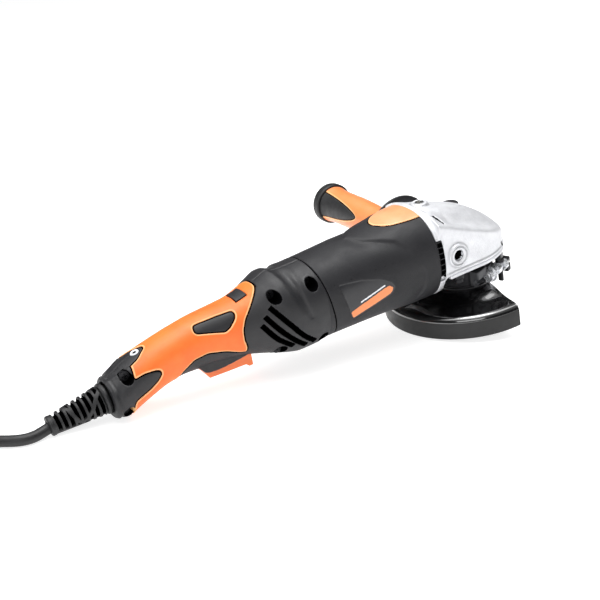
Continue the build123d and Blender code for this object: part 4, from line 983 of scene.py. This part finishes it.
sl = np.concatenate([np.linspace(6.3, 46.8, 280), np.linspace(46.95, 50.2, 26)])
fi = np.linspace(0, 360, 240, endpoint=False)
S, A = np.meshgrid(sl, fi, indexing="ij")
W, RAD = sleeve_cut(S, A)
R = RAD - 2.1 * W
R = R + 0.5 * np.exp(-((S - 8.2) / 1.1) ** 2) - 1.3 * np.exp(-((S - 10.2) / 0.42) ** 2)
R = np.where(S > 46.8, 7.35 - 0.7 * np.abs((S - 48.5) / 1.7) ** 6, R)
R = np.where(S < 6.6, R - 0.5, R)
# the point value 'cav' paints shade in the window floors, the groove by the heel and the turned-in ends
rows_s, rows_r, rows_c = [S], [R], [np.maximum(W * 0.9, 0.7 * np.exp(-((S - 10.2) / 0.42) ** 2))]
for s_, r_ in ((50.25, 5.6), (50.2, 4.5), (49.6, 4.03), (44.0, 4.03)):
    rows_s.append(np.full((1, 240), s_))
    rows_r.append(np.full((1, 240), r_))
    rows_c.append(np.full((1, 240), 0.3))
for s_, r_ in ((6.2, 9.6), (6.1, 8.5), (3.9, 8.5)):
    rows_s.insert(0, np.full((1, 240), s_))
    rows_r.insert(0, np.full((1, 240), r_))
    rows_c.insert(0, np.full((1, 240), 0.8))
S, R, C = (np.concatenate(k) for k in (rows_s, rows_r, rows_c))
A = np.radians(np.broadcast_to(fi, S.shape))
v = SA + S[..., None] * SD + (R * np.cos(A))[..., None] * SU + (R * np.sin(A))[..., None] * np.array([0.0, -1.0, 0.0])
F = grid_faces(len(S), 240, wrap=True)
cut = C.ravel()[F].mean(1)
# faces deep in the windows get the flat black painted shade
sleeve = piece(mesh_from("lead_sleeve", T(v.reshape(-1, 3)), F, [MAT["black_rubber"], MAT["deep_hollow"]], face_mat=(cut > 0.55) & (S.ravel()[F].mean(1) > 10.3), attrs={"cav": C.ravel()}),
               "housing", "black_rubber", "strain_relief")
# ---------------------------------------------------------------- side handle: turned grip with two dark tongues from its end
SIDE_X, SIDE_Z, SIDE_A = -27.0, 1.0, math.radians(160.0)
side_r = pchip([52, 60, 70, 82, 95, 108, 120, 130, 136, 139.4], [14.2, 13.0, 12.9, 13.3, 13.9, 14.2, 14.2, 14.4, 14.9, 15.4])
TIP, BASE = 87.0, 139.4


def tongue_half(y):
    t = np.clip((y - TIP) / (BASE - TIP), 0, 1)
    return np.radians(50.0) * t ** 0.56 * (1.0 - 0.10 * t ** 4)


ty = TIP + (BASE - TIP) * np.linspace(0, 1, 40) ** 1.8
TONGUE = np.array([(y, 14.2 * a) for y, a in zip(ty, tongue_half(ty))] + [(BASE + 6, 14.2 * tongue_half(BASE))])
TONGUE = np.concatenate([TONGUE, (TONGUE * [1, -1])[::-1][:-1]])
ys = np.unique(np.concatenate([np.linspace(52, BASE, 190), TIP + np.linspace(0, 3, 22)]))
cols = []
for k in range(2):
    cols += [(k, u, True) for u in np.linspace(-1, 1, 61)[:-1]]
    cols += [(k, u, False) for u in np.linspace(0, 1, 61)[:-1]]
nc = len(cols)
Y = np.repeat(ys[:, None], nc, 1)
half = np.maximum(tongue_half(ys), 0.004)
ANG = np.zeros_like(Y)
for c, (k, u, inside) in enumerate(cols):
    mid = SIDE_A + k * math.pi
    ANG[:, c] = mid + half * u if inside else mid + half + u * (math.pi - 2 * half)
near = (ANG - SIDE_A + math.pi / 2) % math.pi - math.pi / 2
D = sd_poly(TONGUE, Y, 14.2 * near)
R = side_r(Y)
R = R + np.where(D > 0, 0.25, 0.05) * ease(np.abs(D) / 0.7) - 0.7 * np.exp(-((D + 0.35) / 0.38) ** 2)
R = R - 0.5 * np.exp(-((Y - 52.6) / 0.4) ** 2)
# shallow finger waves
R = R - 0.22 * np.exp(-((Y - 74) / 7.0) ** 2)
v = np.stack([SIDE_X + R * np.cos(ANG), Y, SIDE_Z + R * np.sin(ANG)], -1)
F = grid_faces(len(ys), nc, wrap=True)
fd = D.ravel()[F].mean(1)
# painted shade in the groove round each tongue ('cav') and a painted highlight on the orange lip beside it ('rim')
at = {"cav": (0.9 * np.exp(-((D + 0.35) / 0.4) ** 2) * (D < 0.02)).ravel(), "rim": (0.85 * np.exp(-((D - 0.5) / 0.42) ** 2)).ravel()}
V3 = T(v.reshape(-1, 3))
vv_, ff_, aa_ = part_of(V3, F, fd >= 0, at)
piece(mesh_from("side_grip", vv_, ff_, [MAT["side_orange"]], attrs=aa_), "housing", slot_of["side_handle_grip"], "side_handle_grip")
# its end: the tongues with a turned cap that has a flat rim
cap = np.array([(14.6, 138.9), (14.9, 139.5), (16.6, 139.7), (17.2, 140.2), (17.5, 141.2), (17.55, 143.2), (17.5, 146.0), (17.2, 147.4), (16.3, 148.4), (15.6, 148.9), (15.0, 150.4),
                (13.6, 152.2), (11.0, 153.5), (7.0, 154.3), (0.02, 154.5)])
cs = np.concatenate([[0], np.cumsum(np.hypot(*np.diff(cap, axis=0).T))])
cf = np.unique(np.concatenate([np.linspace(0, cs[-1], 70), cs]))
cr, cy = np.interp(cf, cs, cap[:, 0]), np.interp(cf, cs, cap[:, 1])
ca = np.linspace(0, 2 * math.pi, 160, endpoint=False)
CR, CA = np.meshgrid(cr, ca, indexing="ij")
v2 = np.stack([SIDE_X + CR * np.cos(CA), np.repeat(cy[:, None], 160, 1), SIDE_Z + CR * np.sin(CA)], -1).reshape(-1, 3)
vt, ft, at2 = part_of(V3, F, fd < 0, at)
# the tongue faces next to the groove get the flat black painted shade
tongue_edge_shade = fd[fd < 0] > -0.72
vall = np.concatenate([vt, T(v2)])
fall = np.concatenate([ft, grid_faces(len(cr), 160, wrap=True) + len(vt)])
cavall = np.concatenate([at2["cav"], np.zeros(len(v2))])
mat_i = np.concatenate([tongue_edge_shade, np.zeros(len(fall) - len(ft), bool)])
piece(mesh_from("side_end", vall, fall, [MAT[slot_of["side_handle_end"]], MAT["deep_hollow"]], face_mat=mat_i, attrs={"cav": cavall}), "housing", slot_of["side_handle_end"], "side_handle_end")

# ---------------------------------------------------------------- outlet grilles set into the head's flange, one each side
for sgn, word in ((-1, "right"), (1, "left")):
    xg = np.linspace(-46.05, -41.35, 26)
    tg = np.linspace(-23.0, 29.5, 260)
    XG, TG = np.meshgrid(xg, np.radians(tg), indexing="ij")
    base = on_skin(MCUR, np.full_like(XG, -46.0), TG)
    base[..., 0] = XG
    zz = base[..., 2]
    gap = (np.abs((zz / 4.6) % 1.0 - 0.5) < 0.41) & (np.abs(XG + 43.7) < 2.0) & (zz > -12.9) & (zz < 17.4)
    off = np.where(gap, -2.3, -0.45) - 1.6 * np.exp(-((TG - TG.min()) / 0.012) ** 2) - 1.6 * np.exp(-((TG - TG.max()) / 0.012) ** 2)
    base[..., 1] += off * np.cos(TG)
    base[..., 2] += off * np.sin(TG)
    base[..., 1] *= sgn
    F = grid_faces(26, 260)
    F = F if sgn < 0 else F[:, ::-1]
    # the gaps between the bars get the flat black painted shade
    piece(mesh_from("outlet_grille_" + word, T(base.reshape(-1, 3)), F[:, ::-1], [MAT["motor_plastic"], MAT["deep_hollow"]], face_mat=gap.ravel()[F].any(1)), "housing", "motor_plastic")

# ---------------------------------------------------------------- indicator: pale ring round a dark window
la = np.linspace(0, 2 * math.pi, 64, endpoint=False)
lens = []
for r, h in ((3.25, -0.6), (3.2, 0.25), (2.95, 0.55), (2.5, 0.6), (1.75, 0.45), (1.5, 0.1), (1.3, -0.1), (0.7, 0.0), (0.02, 0.05)):
    lens.append(np.stack([-284.4 + r * np.cos(la), r * np.sin(la), np.full(64, h)], -1))
lens = np.array(lens)
nz = (HCUR[0](-285.4) - HCUR[0](-283.4)) / 2.0
lens[..., 2] += HCUR[0](-284.4) - nz * (lens[..., 0] + 284.4)
F = grid_faces(len(lens), 64, wrap=True)
piece(mesh_from("indicator", T(lens.reshape(-1, 3)), F, [MAT["clear_white"], MAT["deep_hollow"]], face_mat=(F // 64).max(1) > 5), "housing", "clear_white", "indicator_lens")

# ---------------------------------------------------------------- bearing cover under the head, with the neck that the guard turns on
COVER_SCREWS = [(20, 24), (20, -24), (-24, 27), (-24, -27)]


def cover_field(x, y, z):
    ay = np.abs(y)
    plan = np.where(x <= -4, ay - 34.2, (np.sqrt((np.maximum(x + 4, 0) / 39.4) ** 2 + (y / 34.2) ** 2) - 1) * 34.6)
    d = smax(smax(plan - 0.3, np.abs(z + 15.0) - 1.7, 0.5), -36.0 - x, 0.6)
    d = np.minimum(d, smax(smax(plan + 6.5, np.abs(z + 18.0) - 2.4, 0.5), -31.0 - x, 0.6))
    rr = np.hypot(x, y)
    d = smin(d, np.maximum(rr - 21.3, np.abs(z + 31.0) - 10.0), 1.0)
    for cx, cy in COVER_SCREWS:
        boss = smax(np.hypot(x - cx, y - cy) - 4.6, np.abs(z + 18.6) - 3.7, 0.5)
        d = smin(d, np.maximum(boss, plan + 0.2), 0.8)
    return np.maximum(d, 12.0 - rr)


v, f = surface_net(cover_field, (-38.0, -36.5, -42.0), (38.0, 36.5, -12.0), 0.7)
# the lower body below z -16.65 is dark steel as painted shade under the head; the lip above it is cast aluminium
piece(mesh_from("bearing_plate", T(v), f, [MAT["cast_aluminium"], MAT["dark_steel"]], face_mat=v[f].mean(1)[:, 2] < -16.65), "housing", "cast_aluminium", "bearing_cover")

# black lips of the shell beside the trigger, one each side
LIP = np.array([(-263.0, -8.6), (-261.2, -11.6), (-254.4, -9.6), (-249.5, -10.3), (-246.0, -12.2), (-243.0, -15.8), (-241.0, -18.6), (-237.5, -19.9), (-231.0, -20.4),
                (-221.6, -20.1), (-212.0, -19.2), (-204.8, -18.2), (-200.0, -18.0), (-199.0, -14.0), (-206.0, -9.0), (-240.0, -7.0)])
LIP = round_poly(LIP, 1.5, 3)


def lip_field(x, y, z):
    side = sd_poly(LIP, x[:, 0, :], z[:, 0, :])[:, None, :]
    return smax(np.broadcast_to(side, x.shape), np.abs(np.abs(y) - 11.3) - 1.55, 0.6)


v, f = surface_net(lip_field, (-264.0, -14.0, -24.0), (-196.0, 14.0, -6.0), 0.55)
piece(mesh_from("trigger_lips", T(v), f, [MAT["black_plastic"]]), "housing", "black_plastic")


# ---------------------------------------------------------------- guard clamp: collar with its blocks, bolt along the collar, nut by the tab
def clamp_axes(x, y):
    return 0.94 * x + 0.342 * y + 2.2, 0.342 * x - 0.94 * y


def slab(a, b, z, a0, a1, b0, b1, z0, z1, k=0.5):
    d = smax(np.abs(a - (a0 + a1) / 2) - (a1 - a0) / 2, np.abs(b - (b0 + b1) / 2) - (b1 - b0) / 2, k)
    return smax(d, np.abs(z - (z0 + z1) / 2) - (z1 - z0) / 2, k)


def collar_field(x, y, z):
    a, b = clamp_axes(x, y)
    rr = np.hypot(x, y)
    d = np.maximum(np.maximum(rr - 24.0, 21.4 - rr), np.abs(z + 28.4) - 9.8)
    d = smax(d, np.maximum(rr - 24.0, 21.4 - rr), 0.4)
    band = np.maximum(np.maximum(rr - 24.9, 21.6 - rr), np.abs(z + 30.0) - 5.6)
    d = smin(d, band, 0.5)
    d = np.minimum(d, np.maximum(slab(a, b, z, -16.0, -2.6, 17.0, 26.6, -35.4, -22.2, 0.8), 21.4 - rr))
    d = np.minimum(d, slab(a, b, z, 25.2, 30.6, 20.6, 28.4, -40.0, -28.0, 0.8))
    d = np.minimum(d, slab(a, b, z, 10.0, 26.0, 20.4, 22.2, -38.0, -29.0, 0.5))
    lever = slab(a, b, z + 0.18 * (a - 18.0), 17.2, 19.8, 23.4, 27.6, -45.0, -29.4, 0.6)
    d = np.minimum(d, lever)
    bore = np.hypot(b - 25.0, z + 32.2) - 3.15
    return np.maximum(d, -bore)


v, f = surface_net(collar_field, (-27.0, -31.0, -47.0), (38.0, 27.0, -17.5), 0.6)
ma, mb = clamp_axes(*v[f].mean(1)[:, :2].T)
box = (ma > -16.3) & (ma < -2.4) & (mb > 19.0) & (np.hypot(ma, mb) > 25.05)
piece(mesh_from("clamp_collar", T(v), f, [MAT["dark_steel"], MAT["clamp_grey"]], face_mat=box), "guard", slot_of["guard_collar"], "guard_collar")


def hexagon(b, z, r):
    u, w = b - 25.0, z + 32.2
    return np.maximum.reduce([np.abs(u * math.cos(k) + w * math.sin(k)) - r for k in (0.3, 0.3 + math.pi / 3, 0.3 + 2 * math.pi / 3)])


def bolt_field(x, y, z):
    a, b = clamp_axes(x, y)
    q = np.hypot(b - 25.0, z + 32.2)
    d = np.maximum(q - 3.0 + 0.18 * (0.5 + 0.5 * np.cos(2 * math.pi * a / 1.25)) * (a > 4), np.abs(a - 12.4) - 14.6)
    head = smax(smax(hexagon(b, z, 5.2), np.abs(a - 0.4) - 2.2, 0.4), q - 5.75, 0.4)
    head = np.maximum(head, -np.maximum(q - 2.6, -0.4 - a))
    d = np.minimum(d, head)
    d = np.minimum(d, smax(q - 6.9, np.abs(a - 3.5) - 0.8, 0.3))
    d = np.minimum(d, smax(q - 4.6, np.abs(a - 13.5) - 2.6, 0.4))
    return d


v, f = surface_net(bolt_field, (-9.0, -34.0, -40.5), (30.0, -10.0, -24.0), 0.36)
piece(mesh_from("clamp_bolt", T(v), f, [MAT["clamp_zinc"]]), "guard", slot_of["guard_clamp_bolt"], "guard_clamp_bolt")


def nut_field(x, y, z):
    a, b = clamp_axes(x, y)
    q = np.hypot(b - 25.0, z + 32.2)
    d = smax(smax(hexagon(b, z, 5.0), np.abs(a - 22.4) - 2.3, 0.4), q - 5.6, 0.4)
    return np.maximum(d, 3.05 - q)


v, f = surface_net(nut_field, (8.0, -28.0, -40.0), (32.0, -9.0, -25.0), 0.36)
piece(mesh_from("clamp_hex", T(v), f, [MAT["clamp_zinc"]]), "guard", slot_of["guard_clamp_nut"], "guard_clamp_nut")


# ---------------------------------------------------------------- stage
bpy.ops.mesh.primitive_plane_add(size=14.0, location=(0, 0, -0.0002))
floor = bpy.context.object
floor.name = "floor"
fm = bpy.data.materials.new("floor_pale")
fm.use_nodes = True
fb = fm.node_tree.nodes["Principled BSDF"]
fb.inputs["Base Color"].default_value = (0.60, 0.60, 0.60, 1)
fb.inputs["Roughness"].default_value = 0.7
fb.inputs["Specular IOR Level"].default_value = 0.25
fb.inputs["Emission Color"].default_value = (1, 1, 1, 1)
fb.inputs["Emission Strength"].default_value = 0.76
floor.data.materials.append(fm)

world = bpy.data.worlds.new("studio")
scene.world = world
world.use_nodes = True
bg = world.node_tree.nodes["Background"]
wc = world.node_tree.nodes.new("ShaderNodeTexCoord")
ws = world.node_tree.nodes.new("ShaderNodeSeparateXYZ")
wr = world.node_tree.nodes.new("ShaderNodeValToRGB")
world.node_tree.links.new(wc.outputs["Generated"], ws.inputs[0])
world.node_tree.links.new(ws.outputs["Z"], wr.inputs[0])
world.node_tree.links.new(wr.outputs[0], bg.inputs["Color"])
el = wr.color_ramp.elements
el[0].position, el[0].color = 0.0, (0.40, 0.40, 0.40, 1)
el[1].position, el[1].color = 1.0, (0.70, 0.70, 0.70, 1)
for at_, val in ((0.10, 0.14), (0.18, 0.06), (0.52, 0.06), (0.74, 0.60)):
    e_ = el.new(at_)
    e_.color = (val, val, val, 1)
bg.inputs["Strength"].default_value = 0.6


def area(name, loc, target, size, power, size_y=None):
    d = bpy.data.lights.new(name, "AREA")
    d.shape = "RECTANGLE"
    d.size, d.size_y = size, size_y or size
    d.energy = power
    ob = bpy.data.objects.new(name, d)
    ob.location = loc
    ob.rotation_euler = (Vector(target) - Vector(loc)).to_track_quat("-Z", "Y").to_euler()
    bpy.context.collection.objects.link(ob)


area("key_overhead", (-0.1, 0.15, 1.5), (0, 0, 0), 1.7, 25.0)
area("box_overhead", (0.15, 0.0, 1.1), (0.12, 0, 0), 0.4, 5.0)
area("left_back", (-1.3, 0.6, 0.9), (0, 0, 0.05), 0.9, 9.0, 0.7)
area("front_fill", (-0.9, -1.5, 0.9), (0, 0, 0.05), 1.2, 8.0, 0.8)
